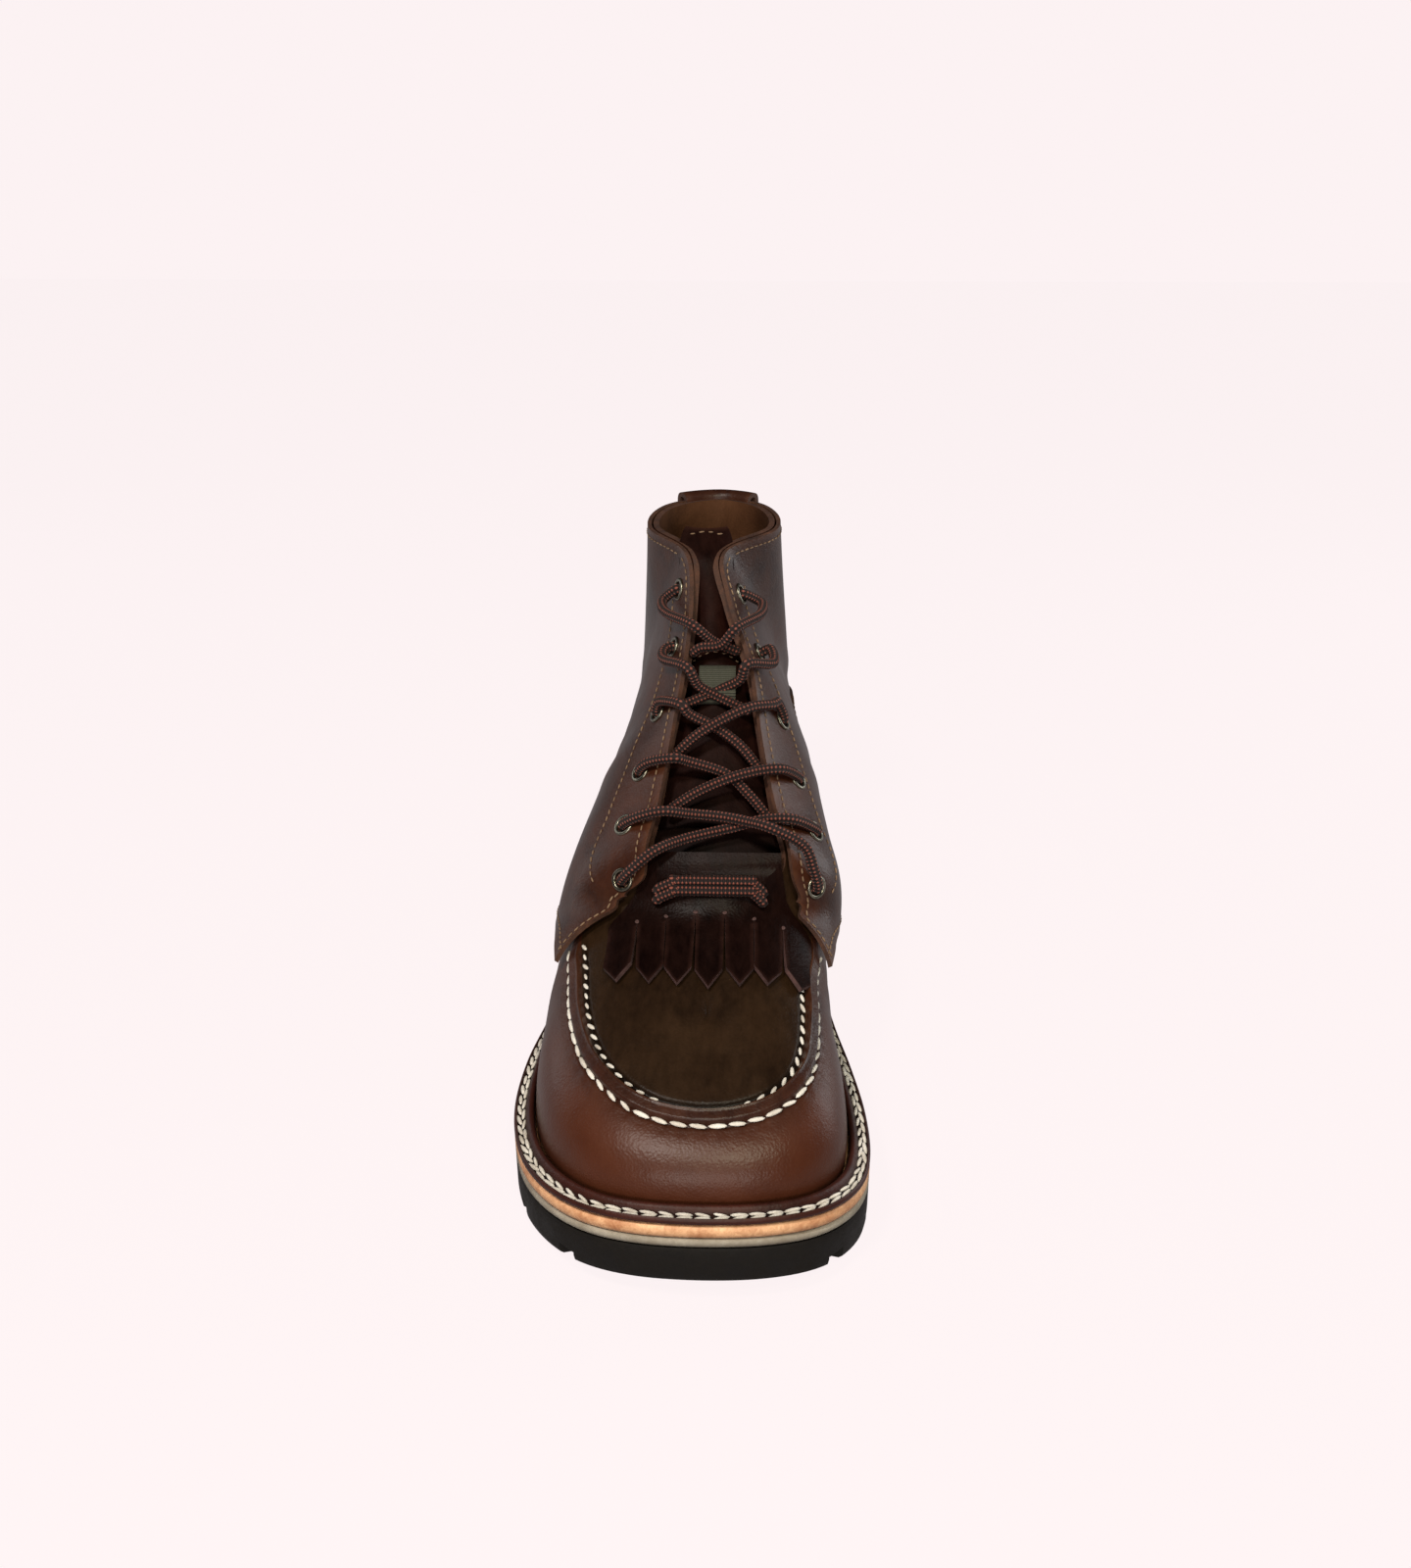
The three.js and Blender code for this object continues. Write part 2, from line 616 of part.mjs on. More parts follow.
// The throat's line, midway between the two facings, and the way out of the boot there
function throatLine(place) {
  const middle = (p) => skin(LATERAL, p, 1).add(skin(MEDIAL, p, 1)).multiplyScalar(0.5);
  const point = middle(place);
  const along = middle(place + 0.1).sub(middle(place - 0.1));
  const out = new THREE.Vector3(0, -along.z, along.y).normalize();
  return { point, out };
}

// The tongue lies along the inside of the facings and bridges the throat between them
function tongueAt(place, across, raised) {
  const deep = UPPER_WALL + SKIN_GAP + GAP + TONGUE_THICK / 2;
  const inside = (side, up) => skin(side, place, up).addScaledVector(skinNormal(side, place, up), -deep);
  const low = 1 - TONGUE_UNDER;
  const { out } = throatLine(place);
  const upwards = new THREE.Vector3(0, out.z, -out.y);
  return new THREE.CubicBezierCurve3(
    inside(LATERAL, low),
    inside(LATERAL, 1),
    inside(MEDIAL, 1),
    inside(MEDIAL, low),
  ).getPoint(across).addScaledVector(upwards, raised);
}
function tongue() {
  const sheet = new Sheet();
  const rows = range(TONGUE_FOOT, TONGUE_END, 9).map((place) => [place, 0]);
  rows.push([TONGUE_END, TONGUE_RISE / 2], [TONGUE_END, TONGUE_RISE]);
  const at = ([place, raised], across) => {
    const round = Math.sqrt(1 - 0.4 * (raised / TONGUE_RISE) ** 2);
    return { point: tongueAt(place, 0.5 + (across - 0.5) * round, raised) };
  };
  sheet.grid(rows, range(0, 1, 6), at, true);
  return sheet.solid(-TONGUE_THICK / 2, TONGUE_THICK / 2);
}

// Height of the plug's centre line, and on up the throat's line, at a distance from the toe
function crest(y) {
  let [low, high] = [0, CORNER_RIB];
  for (let i = 0; i < 30; i++) {
    const middle = (low + high) / 2;
    if (column("topY", middle) * LENGTH < y) low = middle;
    else high = middle;
  }
  return column("topZ", low) * COLLAR_HEIGHT;
}

// Height of the skin under a point of the plan, searched along the ribs that cross the plug
function skinHeight(x, y) {
  const side = x < 0 ? LATERAL : MEDIAL;
  const reach = (place) => {
    let [low, high] = [SEAM_UP, 1];
    for (let i = 0; i < 24; i++) {
      const middle = (low + high) / 2;
      if (Math.abs(skin(side, place, middle).x) > Math.abs(x)) low = middle;
      else high = middle;
    }
    return skin(side, place, low);
  };
  let [front, back] = [0, THROAT_RIB];
  for (let i = 0; i < 24; i++) {
    const middle = (front + back) / 2;
    if (reach(middle).y < y) front = middle;
    else back = middle;
  }
  return reach(front).z;
}

// The kiltie: a tongue of leather over the plug, cut into pointed tails
function kiltiePoint(x, y) {
  const onSkin = KILTIE_TIP + TAIL_LONG + POINT_LONG / 2; // behind it the kiltie rises with the throat
  const resting = skinHeight(x, Math.min(y, onSkin));
  const rise = crest(Math.max(y, onSkin)) - crest(onSkin);
  return new THREE.Vector3(x, y, resting + rise);
}
function kiltie() {
  const sheet = new Sheet();
  const half = KILTIE_WIDE / 2;
  const step = KILTIE_WIDE / TAILS;
  const slitEnd = KILTIE_TIP + POINT_LONG + TAIL_LONG;
  const at = (x, y) => {
    const wide = x * (1 - (1 - KILTIE_NARROW) * smooth(y, slitEnd - 6, slitEnd + 6));
    return { point: kiltiePoint(wide, y) };
  };
  sheet.grid(range(-half, half, 2 * TAILS), range(slitEnd, KILTIE_TOP, 2), at, false);
  for (let tail = 0; tail < TAILS; tail++) {
    const left = -half + tail * step;
    const shorter = TAIL_SHORTER * ((left + step / 2) / half) ** 2;
    sheet.grid(
      [-1, 0, 1],
      range(0, 1, 3),
      (edge, rise) => {
        const tip = KILTIE_TIP + shorter + (edge === 0 ? 0 : POINT_LONG);
        const y = THREE.MathUtils.lerp(tip, slitEnd, rise);
        const slit = rise < 1 ? (edge * SLIT) / 2 : 0;
        return at(left + (step / 2) * (1 + edge) - slit, y);
      },
      false,
    );
  }
  return sheet.solid(KILTIE_GAP, KILTIE_GAP + KILTIE_THICK);
}

// Tubes
function tube(points, diameter, steps) {
  const sides = 6;
  const shape = new THREE.Shape(
    range(0, 2 * Math.PI, sides).slice(0, -1).map(
      (a) => new THREE.Vector2((Math.cos(a) * diameter) / 2, (Math.sin(a) * diameter) / 2),
    ),
  );
  const extrudePath = new THREE.CatmullRomCurve3(points);
  return sealed(new THREE.ExtrudeGeometry(shape, { extrudePath, steps, bevelEnabled: false }));
}

// Lace crossings. Two strands leave the eyelets of one row, cross over the throat and run down to
// the next row. They end at the edges of the facings, and only the last two end at eyelets.
function aboveSeat({ point, normal }) {
  return point.addScaledVector(normal, OVERLAY + GAP + 1 + LACE_LIFT);
}
function overFacing(side, place) {
  const { out } = throatLine(place);
  return skin(side, place, 1).addScaledVector(out, flapOffset(place) + OVERLAY + LACE_LIFT + 1);
}
function strand(side, i, over) {
  const place = eyeletPlace(i);
  const next = THREE.MathUtils.lerp(place, eyeletPlace(i + 1), LACE_TUCK);
  const { point, out } = throatLine((place + next) / 2);
  const points = [
    aboveSeat(eyeletSeat(side, i)),
    overFacing(side, place - 0.1),
    point.addScaledVector(out, LACE_LIFT + (over ? 1.5 : 0)),
  ];
  if (i + 2 === EYELETS) {
    points.push(overFacing(-side, eyeletPlace(i + 1) + 0.2), aboveSeat(eyeletSeat(-side, i + 1)));
  } else {
    const edge = skin(-side, next, 1);
    const inside = throatLine(next).point.lerp(edge, 1 - (LACE / 2 + 2 * GAP) / (Math.abs(edge.x) + 1));
    points.push(inside.addScaledVector(out, -LACE / 4));
  }
  return tube(points, LACE, 8);
}
const crossing = (i) => join(strand(LATERAL, i, false), strand(MEDIAL, i, true));

// The bar of lace across the kiltie
function laceBar() {
  const across = range(-1, 1, 4);
  const { out } = throatLine(THROAT_RIB + 0.6);
  const points = across.map((s) =>
    kiltiePoint(s * BAR_HALF, BAR_Y).addScaledVector(out, KILTIE_GAP + KILTIE_THICK + LACE / 2 + GAP),
  );
  return tube(points, LACE, 6);
}

// The tab on the tongue that the laces run behind
function tab() {
  const { out } = throatLine(TAB_PLACE);
  const seat = tongueAt(TAB_PLACE, 0.5, 0).addScaledVector(out, TONGUE_THICK / 2 + TAB_THICK / 2 + 2 * GAP);
  const plate = new THREE.BoxGeometry(TAB_WIDE, TAB_LONG, TAB_THICK);
  return stand(plate, seat, out);
}

// The pull tab at the heel, folded over the collar. Its line runs up the outside, over the rim and down
// the inside: how far above the rim, and how far out of the skin.
function pullTab() {
  const outer = backOffset + OVERLAY + 2 * GAP;
  const inner = -UPPER_WALL - 2 * GAP;
  const line = [
    [-PULL_DOWN, outer],
    [-PULL_DOWN / 2, outer],
    [0, outer],
    [PULL_RISE * 0.7, outer - 1],
    [PULL_RISE, (outer + inner) / 2],
    [PULL_RISE * 0.7, inner + 1],
    [0, inner],
    [-PULL_INSIDE, inner],
  ];
  const at = (side) => (place, k) => {
    const [above, out] = line[k];
    const tall = skin(side, place, 1).z - featherZ(foot(side, place).y);
    const up = 1 + Math.min(above, 0) / tall / column("drop", place) / 3;
    const point = skin(side, place, up).addScaledVector(skinNormal(side, place, 1), out);
    point.z += Math.max(above, 0);
    return { point };
  };
  const sheet = new Sheet();
  for (const side of [LATERAL, MEDIAL])
    sheet.grid(range(LAST_RIB - PULL_HALF, LAST_RIB, 4), range(0, 7, 7), at(side), side === LATERAL);
  return sheet.solid(0, PULL_THICK);
}

// Assembly
const LEATHER = { color: 0x3a2119, roughness: 0.45, metalness: 0 };
const DARK_LEATHER = { color: 0x1f110d, roughness: 0.5, metalness: 0 };
const RUBBER = { color: 0x1a1614, roughness: 0.8, metalness: 0 };
const TAN = { color: 0xb07a4a, roughness: 0.6, metalness: 0 };
const GREY = { color: 0x9a958a, roughness: 0.7, metalness: 0 };
const METAL = { color: 0x6f6d5f, roughness: 0.35, metalness: 1 };
const CORD = { color: 0x3b1c17, roughness: 0.8, metalness: 0 };
const WEBBING = { color: 0x5c5b4c, roughness: 0.8, metalness: 0 };

const boot = new THREE.Group();
function add(name, geometry, finish) {
  const mesh = new THREE.Mesh(geometry, new THREE.MeshStandardMaterial(finish));
  mesh.name = name;
  boot.add(mesh);
}

add("outsole", outsole(), RUBBER);
add("heel", heel(), RUBBER);
add("slip_layer", slipLayer(), GREY);
add("midsole", midsole(), TAN);
add("welt", welt(), LEATHER);
add("insole", insole(), TAN);
add("upper", upper(), LEATHER);
add("quarter_lateral", quarter(LATERAL), LEATHER);
add("quarter_medial", quarter(MEDIAL), LEATHER);
add("counter", counter(), LEATHER);
add("backstay", backstay(), LEATHER);
add("tongue", tongue(), DARK_LEATHER);
add("kiltie", kiltie(), DARK_LEATHER);
add("lace_bar", laceBar(), CORD);
for (let i = 0; i < EYELETS; i++) {
  add(`eyelet_lateral_${i + 1}`, eyelet(LATERAL, i), METAL);
  add(`eyelet_medial_${i + 1}`, eyelet(MEDIAL, i), METAL);
}
for (let i = 0; i + 1 < EYELETS; i++) add(`lace_cross_${i + 1}`, crossing(i), CORD);
add("tongue_tab", tab(), WEBBING);
add("pull_tab", pullTab(), LEATHER);

// The part's frame: the origin is under the middle of the sole
const edges = wholeSole.flatMap((place) => [soleEdge(LATERAL, place).x, soleEdge(MEDIAL, place).x]);
const [front, back] = [soleEdge(LATERAL, TINY).y, soleEdge(LATERAL, LAST_RIB - TINY).y];
boot.position.set(-(Math.max(...edges) + Math.min(...edges)) / 2, -(front + back) / 2, 0);

const part = new THREE.Group();
part.add(boot);
export default part;
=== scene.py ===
# A moc-toe lace-up boot with a fringed kiltie, dressed over its CAD frame.
# %% [markdown]
# The boot is built in this order: the last, the sole, the upper with its hand-sewn seam, the quarters
# with their flaps, the heel pieces, the tongue, the kiltie, the stitches, the eyelets and the lace.
# The frame comes first, because every piece has to sit where the CAD solid of the same name sits.

# %% Load the frame
import math
import bpy
import bmesh
import numpy as np
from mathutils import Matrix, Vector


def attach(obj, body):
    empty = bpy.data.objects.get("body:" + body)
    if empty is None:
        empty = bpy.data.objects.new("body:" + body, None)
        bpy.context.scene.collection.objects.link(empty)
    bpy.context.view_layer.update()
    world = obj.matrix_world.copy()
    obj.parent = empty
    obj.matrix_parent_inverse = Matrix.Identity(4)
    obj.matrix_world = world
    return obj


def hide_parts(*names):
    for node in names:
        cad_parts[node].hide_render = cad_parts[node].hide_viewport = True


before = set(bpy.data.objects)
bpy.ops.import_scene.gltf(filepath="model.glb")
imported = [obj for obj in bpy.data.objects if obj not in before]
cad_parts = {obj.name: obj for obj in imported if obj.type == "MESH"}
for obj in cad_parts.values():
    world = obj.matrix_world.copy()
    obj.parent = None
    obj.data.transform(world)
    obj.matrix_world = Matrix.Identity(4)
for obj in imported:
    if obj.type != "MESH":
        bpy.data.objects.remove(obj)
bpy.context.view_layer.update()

# %% [markdown]
# A shoemaker starts from the last, the foot-shaped form that the leather is pulled over. Here the last
# is a table of ribs. Each rib runs from the edge of the sole up to the centre line of the plug, to the
# edge of the facing or to the collar. A smooth curve through each column gives every rib between them.
# The same table drives the CAD source, so that every seam drawn on it lands on the solid.

# %% The sizes of the last and its table of ribs
LENGTH = 292.0
BALL_WIDTH = 112.0
COLLAR_HEIGHT = 170.0
TOE_SPRING, SPRING_LENGTH = 9.0, 60.0
HEEL_RISE, ARCH_START, HEEL_START = 16.0, 125.0, 206.0
OUTSOLE_THICK, LUG_DEPTH, SLIP_THICK, MIDSOLE_THICK = 12.6, 4.5, 3.0, 4.6
WELT_THICK, WELT_RIB, WELT_RIB_WIDE = 2.8, 1.8, 2.6
LEDGE_TOE, LEDGE_HEEL = 8.0, 6.0
GAP, SKIN_GAP = 0.3, 0.7
UPPER_WALL, OVERLAY, TONGUE_THICK = 2.2, 1.6, 3.0
FLAP_LIFT = 2.6
TO_WORLD = np.array([5.702, -146.02, 0.0])  # from the table's corner to the frame's origin

COLUMNS = ("footY footLateral footMedial topY topZ topLateral topMedial "
           "rise flare pull bulgeLateral bulgeMedial drop").split()
RIBS = np.array([
    [0.027, 0.0, 0.0, 0.212, 0.35, 0.0, 0.0, 0.65, 0.018, 0.6, 0.0, 0.0, 0.27],
    [0.032, 0.158, 0.149, 0.219, 0.353, 0.0, 0.0, 0.65, 0.018, 0.6, 0.0, 0.0, 0.25],
    [0.05, 0.281, 0.272, 0.229, 0.359, 0.0, 0.0, 0.68, 0.018, 0.6, 0.0, 0.0, 0.2],
    [0.087, 0.382, 0.355, 0.243, 0.368, 0.0, 0.0, 0.7, 0.018, 0.62, 0.0, 0.0, 0.15],
    [0.137, 0.453, 0.388, 0.26, 0.376, 0.0, 0.0, 0.68, 0.014, 0.66, 0.0, 0.0, 0.1],
    [0.205, 0.492, 0.39, 0.281, 0.39, 0.0, 0.0, 0.7, 0.014, 0.72, 0.0, 0.0, 0.08],
    [0.281, 0.49, 0.366, 0.305, 0.408, 0.0, 0.0, 0.72, 0.024, 0.78, 0.02, 0.02, 0.1],
    [0.356, 0.46, 0.333, 0.332, 0.432, 0.0, 0.0, 0.73, 0.055, 0.8, 0.08, 0.11, 0.08],
    [0.432, 0.426, 0.307, 0.366, 0.5, 0.167, 0.202, 0.64, 0.07, 0.55, 0.13, 0.16, 0.13],
    [0.514, 0.388, 0.28, 0.425, 0.594, 0.145, 0.171, 0.6, 0.07, 0.5, 0.185, 0.2, 0.2],
    [0.599, 0.352, 0.272, 0.49, 0.694, 0.118, 0.136, 0.58, 0.07, 0.45, 0.175, 0.2, 0.28],
    [0.685, 0.329, 0.275, 0.555, 0.806, 0.083, 0.101, 0.5, 0.057, 0.45, 0.118, 0.15, 0.36],
    [0.767, 0.316, 0.281, 0.616, 0.918, 0.066, 0.03, 0.44, 0.04, 0.45, 0.079, 0.115, 0.37],
    [0.846, 0.294, 0.268, 0.661, 1.0, 0.088, 0.015, 0.4, 0.03, 0.4, 0.066, 0.1, 0.36],
    [0.92, 0.241, 0.224, 0.753, 1.012, 0.218, 0.185, 0.36, 0.04, 0.35, 0.026, 0.04, 0.36],
    [0.965, 0.136, 0.127, 0.856, 1.014, 0.18, 0.155, 0.32, 0.053, 0.3, 0.0, 0.0, 0.36],
    [0.98, 0.0, 0.0, 0.902, 1.014, 0.0, 0.0, 0.3, 0.061, 0.1, -0.035, -0.035, 0.36],
])
LAST_RIB = len(RIBS) - 1
THROAT_RIB, CORNER_RIB = 7, 13
LATERAL, MEDIAL = -1, 1
SEAM_UP, SEAM_END = 0.53, 6.6
FLAP_TIP = (6.4, 0.46)
FACING_FOOT, QUARTER_FOOT = 7.5, 11.2
SIDES = ((LATERAL, "lateral"), (MEDIAL, "medial"))
NEAR, STEP = 0.01, 0.02  # parts of a rib over which the outline's and the skin's directions are taken
print("ribs:", LAST_RIB + 1, "sole length in mm:", LENGTH)


# %% The skin of the last
def smooth(x, low, high):
    t = np.clip((np.asarray(x, float) - low) / (high - low), 0, 1)
    return t * t * (3 - 2 * t)


def catmull(a, b, c, d, f):
    """The smooth curve through b and c, between their neighbours a and d"""
    return b + 0.5 * f * (c - a + f * (2 * a - 5 * b + 4 * c - d + f * (3 * (b - c) + d - a)))


def bezier(a, b, c, d, u):
    return (1 - u) ** 3 * a + 3 * (1 - u) ** 2 * u * b + 3 * (1 - u) * u * u * c + u ** 3 * d


def column(name, place):
    """One column of the table at any place between its ribs"""
    values = RIBS[:, COLUMNS.index(name)]
    odd = -1 if name in ("footLateral", "footMedial", "topLateral", "topMedial") else 1
    values = np.concatenate([[odd * values[1]], values, [odd * values[-2]]])
    place = np.asarray(place, float)
    i = np.clip(np.floor(place).astype(int), 0, LAST_RIB - 1)
    return catmull(*(values[i + k] for k in range(4)), place - i)


def by_side(side, lateral, medial, place):
    return np.where(np.asarray(side) > 0, column(medial, place), column(lateral, place))


def foot(side, place):
    wide = np.maximum(0, by_side(side, "footLateral", "footMedial", place)) * BALL_WIDTH
    return np.stack([side * wide, column("footY", place) * LENGTH], -1)


def outwards(side, place):
    p = np.clip(place, NEAR, LAST_RIB - NEAR)
    along = foot(side, p + NEAR) - foot(side, p - NEAR)
    along /= np.linalg.norm(along, axis=-1, keepdims=True)
    out = np.stack([side * along[..., 1], -side * along[..., 0]], -1)
    out[np.asarray(place) < NEAR] = (0, -1)
    out[np.asarray(place) > LAST_RIB - NEAR] = (0, 1)
    return out


def ledge_at(place):
    """How far the sole stands out beyond the foot's outline"""
    return LEDGE_TOE + (LEDGE_HEEL - LEDGE_TOE) * place / LAST_RIB


def sole_line(y):
    spring = np.maximum(0, 1 - y / SPRING_LENGTH) ** 2 * TOE_SPRING
    return spring + HEEL_RISE * smooth(y, ARCH_START, HEEL_START)


def slip_bottom(y):
    return sole_line(y) + OUTSOLE_THICK + GAP


def midsole_bottom(y):
    return slip_bottom(y) + SLIP_THICK + GAP


def midsole_top(y):
    return midsole_bottom(y) + MIDSOLE_THICK


def rib_tall(start, place):
    """Millimetres from the foot of a rib straight up to its top"""
    return column("topZ", place) * COLLAR_HEIGHT - midsole_top(start[..., 1]) - SKIN_GAP


def spread(*values):
    return np.broadcast_arrays(*(np.atleast_1d(np.asarray(v, float)) for v in values))


def skin(side, place, up):
    """Points on the last: side, place along the ribs, and share of the way up the rib"""
    side, place, up = spread(side, place, up)
    start, out = foot(side, place), outwards(side, place)
    low = midsole_top(start[..., 1]) + SKIN_GAP
    wide = np.where(place <= THROAT_RIB, 0, np.maximum(0, by_side(side, "topLateral", "topMedial", place)))
    a = np.concatenate([start, low[..., None]], -1)
    d = np.stack([side * wide * BALL_WIDTH, column("topY", place) * LENGTH,
                  column("topZ", place) * COLLAR_HEIGHT], -1)
    tall = d[..., 2] - low
    out = np.concatenate([out, np.zeros_like(low)[..., None]], -1)
    b = a + out * (column("flare", place) * BALL_WIDTH)[..., None]
    b[..., 2] += column("rise", place) * tall
    above = np.stack([a[..., 0], a[..., 1], d[..., 2]], -1)
    bulge = by_side(side, "bulgeLateral", "bulgeMedial", place) * BALL_WIDTH
    c = d + (above - d) * column("pull", place)[..., None] + out * bulge[..., None]
    c[..., 2] -= column("drop", place) * tall
    return bezier(a, b, c, d, up[..., None])


def skin_normal(side, place, up):
    side, place, up = spread(side, place, up)
    p, u = np.clip(place, STEP, LAST_RIB - STEP), np.clip(up, STEP, 1 - STEP)
    along = skin(side, p + STEP, u) - skin(side, p - STEP, u)
    rise = skin(side, p, u + STEP) - skin(side, p, u - STEP)
    normal = np.cross(along, rise) * side[..., None]
    normal[..., 0] *= p == place
    return normal / np.linalg.norm(normal, axis=-1, keepdims=True)


def stretch(side, place, up=0.98):
    """Millimetres up the rib for each whole rib height, near a place on it"""
    rise = skin(side, place, up + STEP) - skin(side, place, up - STEP)
    return np.linalg.norm(rise, axis=-1) / (2 * STEP)


def travel(points):
    """Millimetres along a line of points, from its start to each of them"""
    return np.concatenate([[0], np.cumsum(np.linalg.norm(np.diff(points, axis=0), axis=-1))])


def even_places(count, up=0.35, low=0.0, high=LAST_RIB):
    """Places between low and high that are evenly spaced in millimetres at one height"""
    fine = np.linspace(low, high, 600)
    travelled = travel(skin(LATERAL, fine, up))
    return np.interp(np.linspace(0, travelled[-1], count), travelled, fine)


print("toe tip of the last:", np.round(skin(LATERAL, 0.0, 0.5)[0], 1))

# %% [markdown]
# The photograph is taken from in front and a little above, quite close, so the toe looks large and the
# shaft narrow. The camera stands 0.31 m above the floor with a 31.5 mm lens on a 36 mm sensor.
# The floor looks bright only to the camera, and less bright in reflections, where it draws the sheen on
# the leather. It lights the boot hardly at all. Two small lamps above the toe give its two highlights,
# weak lamps at the sides lift the shaft, and a low lamp in front lights the edge of the midsole.

# %% The camera, the floor and the lamps
FORWARD = np.array([-0.0238, 0.9023, -0.4305])
camera = bpy.data.objects.new("camera", bpy.data.cameras.new("camera"))
bpy.context.scene.collection.objects.link(camera)
camera.data.sensor_fit = "VERTICAL"
camera.data.sensor_height = 36
camera.data.lens = 31.5
camera.data.clip_start = 0.01
camera.location = (0.0145, -0.4410, 0.309)
camera.rotation_euler = Vector(FORWARD).to_track_quat("-Z", "Y").to_euler()
bpy.context.scene.camera = camera

PALE = (0.973, 0.888, 0.896, 1)
FLOOR_SEEN, FLOOR_MIRRORED, FLOOR_FELT = 0.985, 0.48, 0.06  # its brightness to each kind of ray


def lamp(name, place, target, size, power, tint):
    light = bpy.data.lights.new(name, "AREA")
    light.shape = "RECTANGLE"
    light.size, light.size_y = size
    light.energy = power
    light.color = tint
    made = bpy.data.objects.new(name, light)
    made.location = place
    made.rotation_euler = (Vector(target) - Vector(place)).to_track_quat("-Z", "Y").to_euler()
    bpy.context.scene.collection.objects.link(made)


lamp("front_left", (-0.22, -0.44, 0.76), (0, -0.08, 0.05), (0.1, 0.1), 4.2, (1, 0.93, 0.86))
lamp("front_right", (0.14, -0.57, 0.72), (0, -0.08, 0.05), (0.07, 0.07), 2.8, (1, 0.97, 0.74))
lamp("side_left", (-0.85, 0.42, 0.35), (0, 0.04, 0.12), (0.3, 0.7), 1.3, (0.95, 0.98, 1))
lamp("side_right", (0.85, 0.35, 0.35), (0, 0.04, 0.12), (0.4, 0.7), 3.6, (0.95, 0.98, 1))
lamp("low_front", (0, -1.0, 0.3), (0, -0.05, 0.06), (0.6, 0.3), 4.4, (1, 0.94, 0.88))
print("camera at", tuple(camera.location))

# %% [markdown]
# Shader nodes come in small helpers: one adds a node and wires it, and one starts a material or a group.
# An effect that several finishes share is a group: leather grain, rubbed edges, fibres and dust.

# %% Node helpers


def add(tree, kind, inputs=None, **settings):
    made = tree.nodes.new(kind)
    for name, value in settings.items():
        setattr(made, name, value)
    for key, value in (inputs or {}).items():
        socket = made.inputs[key]
        if isinstance(value, bpy.types.NodeSocket):
            tree.links.new(value, socket)
        else:
            socket.default_value = value
    return made


def out_of(tree, kind, inputs=None, **settings):
    """The first output of a new node"""
    return add(tree, kind, inputs, **settings).outputs[0]


def mix(tree, factor, first, second):
    return add(tree, "ShaderNodeMix", {0: factor, 6: first, 7: second}, data_type="RGBA").outputs[2]


def maths(tree, operation, first, second=0.0):
    return out_of(tree, "ShaderNodeMath", {0: first, 1: second}, operation=operation)


def ramp(tree, value, low, high, out_low=0.0, out_high=1.0):
    return out_of(tree, "ShaderNodeMapRange", {0: value, 1: low, 2: high, 3: out_low, 4: out_high})


def noise(tree, **inputs):
    return out_of(tree, "ShaderNodeTexNoise", inputs)


def object_place(tree):
    return add(tree, "ShaderNodeTexCoord").outputs["Object"]


def mark(tree, name):
    """A value that the mesh carries in its points"""
    return add(tree, "ShaderNodeAttribute", attribute_name=name).outputs["Fac"]


def new_group(name, inputs, outputs):
    tree = bpy.data.node_groups.new(name, "ShaderNodeTree")
    for key, value in inputs.items():
        tree.interface.new_socket(key, in_out="INPUT", socket_type="NodeSocketFloat").default_value = value
    for key in outputs:
        tree.interface.new_socket(key, in_out="OUTPUT", socket_type="NodeSocketFloat")
    return tree, tree.nodes.new("NodeGroupInput").outputs, tree.nodes.new("NodeGroupOutput").inputs


def use(tree, group, **inputs):
    made = add(tree, "ShaderNodeGroup", node_tree=group)
    for key, value in inputs.items():
        made.inputs[key].default_value = value
    return made.outputs


def start_material(name):
    material = bpy.data.materials.new(name)
    material.use_nodes = True
    tree = material.node_tree
    tree.nodes.clear()
    shader = tree.nodes.new("ShaderNodeBsdfPrincipled")
    output = tree.nodes.new("ShaderNodeOutputMaterial")
    tree.links.new(shader.outputs[0], output.inputs[0])
    return material, tree, shader


def bump(tree, height, strength, distance):
    return out_of(tree, "ShaderNodeBump", {"Height": height, "Strength": strength, "Distance": distance})


# %% [markdown]
# Full-grain leather has three scales: fine pores under half a millimetre, a soft pebble of two or three
# millimetres, and slow clouds where the oil moves under the hand. Pull-up leather also goes lighter where
# it is stretched or rubbed. The grain group puts out all of these, and each leather weighs them itself.

# %% The shared effects
grain_tree, grain_in, grain_out = new_group(
    "Leather Grain", {"Pores": 1400.0, "Pebble": 330.0, "Clouds": 34.0},
    ("Height", "Mottle", "Streaks", "Patches"))
where = object_place(grain_tree)
pores = add(grain_tree, "ShaderNodeTexVoronoi", {"Vector": where, "Scale": grain_in["Pores"]},
            feature="SMOOTH_F1").outputs["Distance"]
pebble = noise(grain_tree, Vector=where, Scale=grain_in["Pebble"], Detail=4.0, Roughness=0.6)
clouds = noise(grain_tree, Vector=where, Scale=grain_in["Clouds"], Detail=5.0, Roughness=0.55)
slow = out_of(grain_tree, "ShaderNodeMapping", {"Vector": where, "Scale": (1.0, 0.35, 0.6)})
streaks = noise(grain_tree, Vector=slow, Scale=260.0, Detail=6.0, Roughness=0.7)
height = maths(grain_tree, "ADD", maths(grain_tree, "MULTIPLY", pores, 0.45),
               maths(grain_tree, "MULTIPLY", pebble, 0.8))
blotches = noise(grain_tree, Vector=where, Scale=46.0, Detail=8.0, Roughness=0.72, Distortion=0.6)
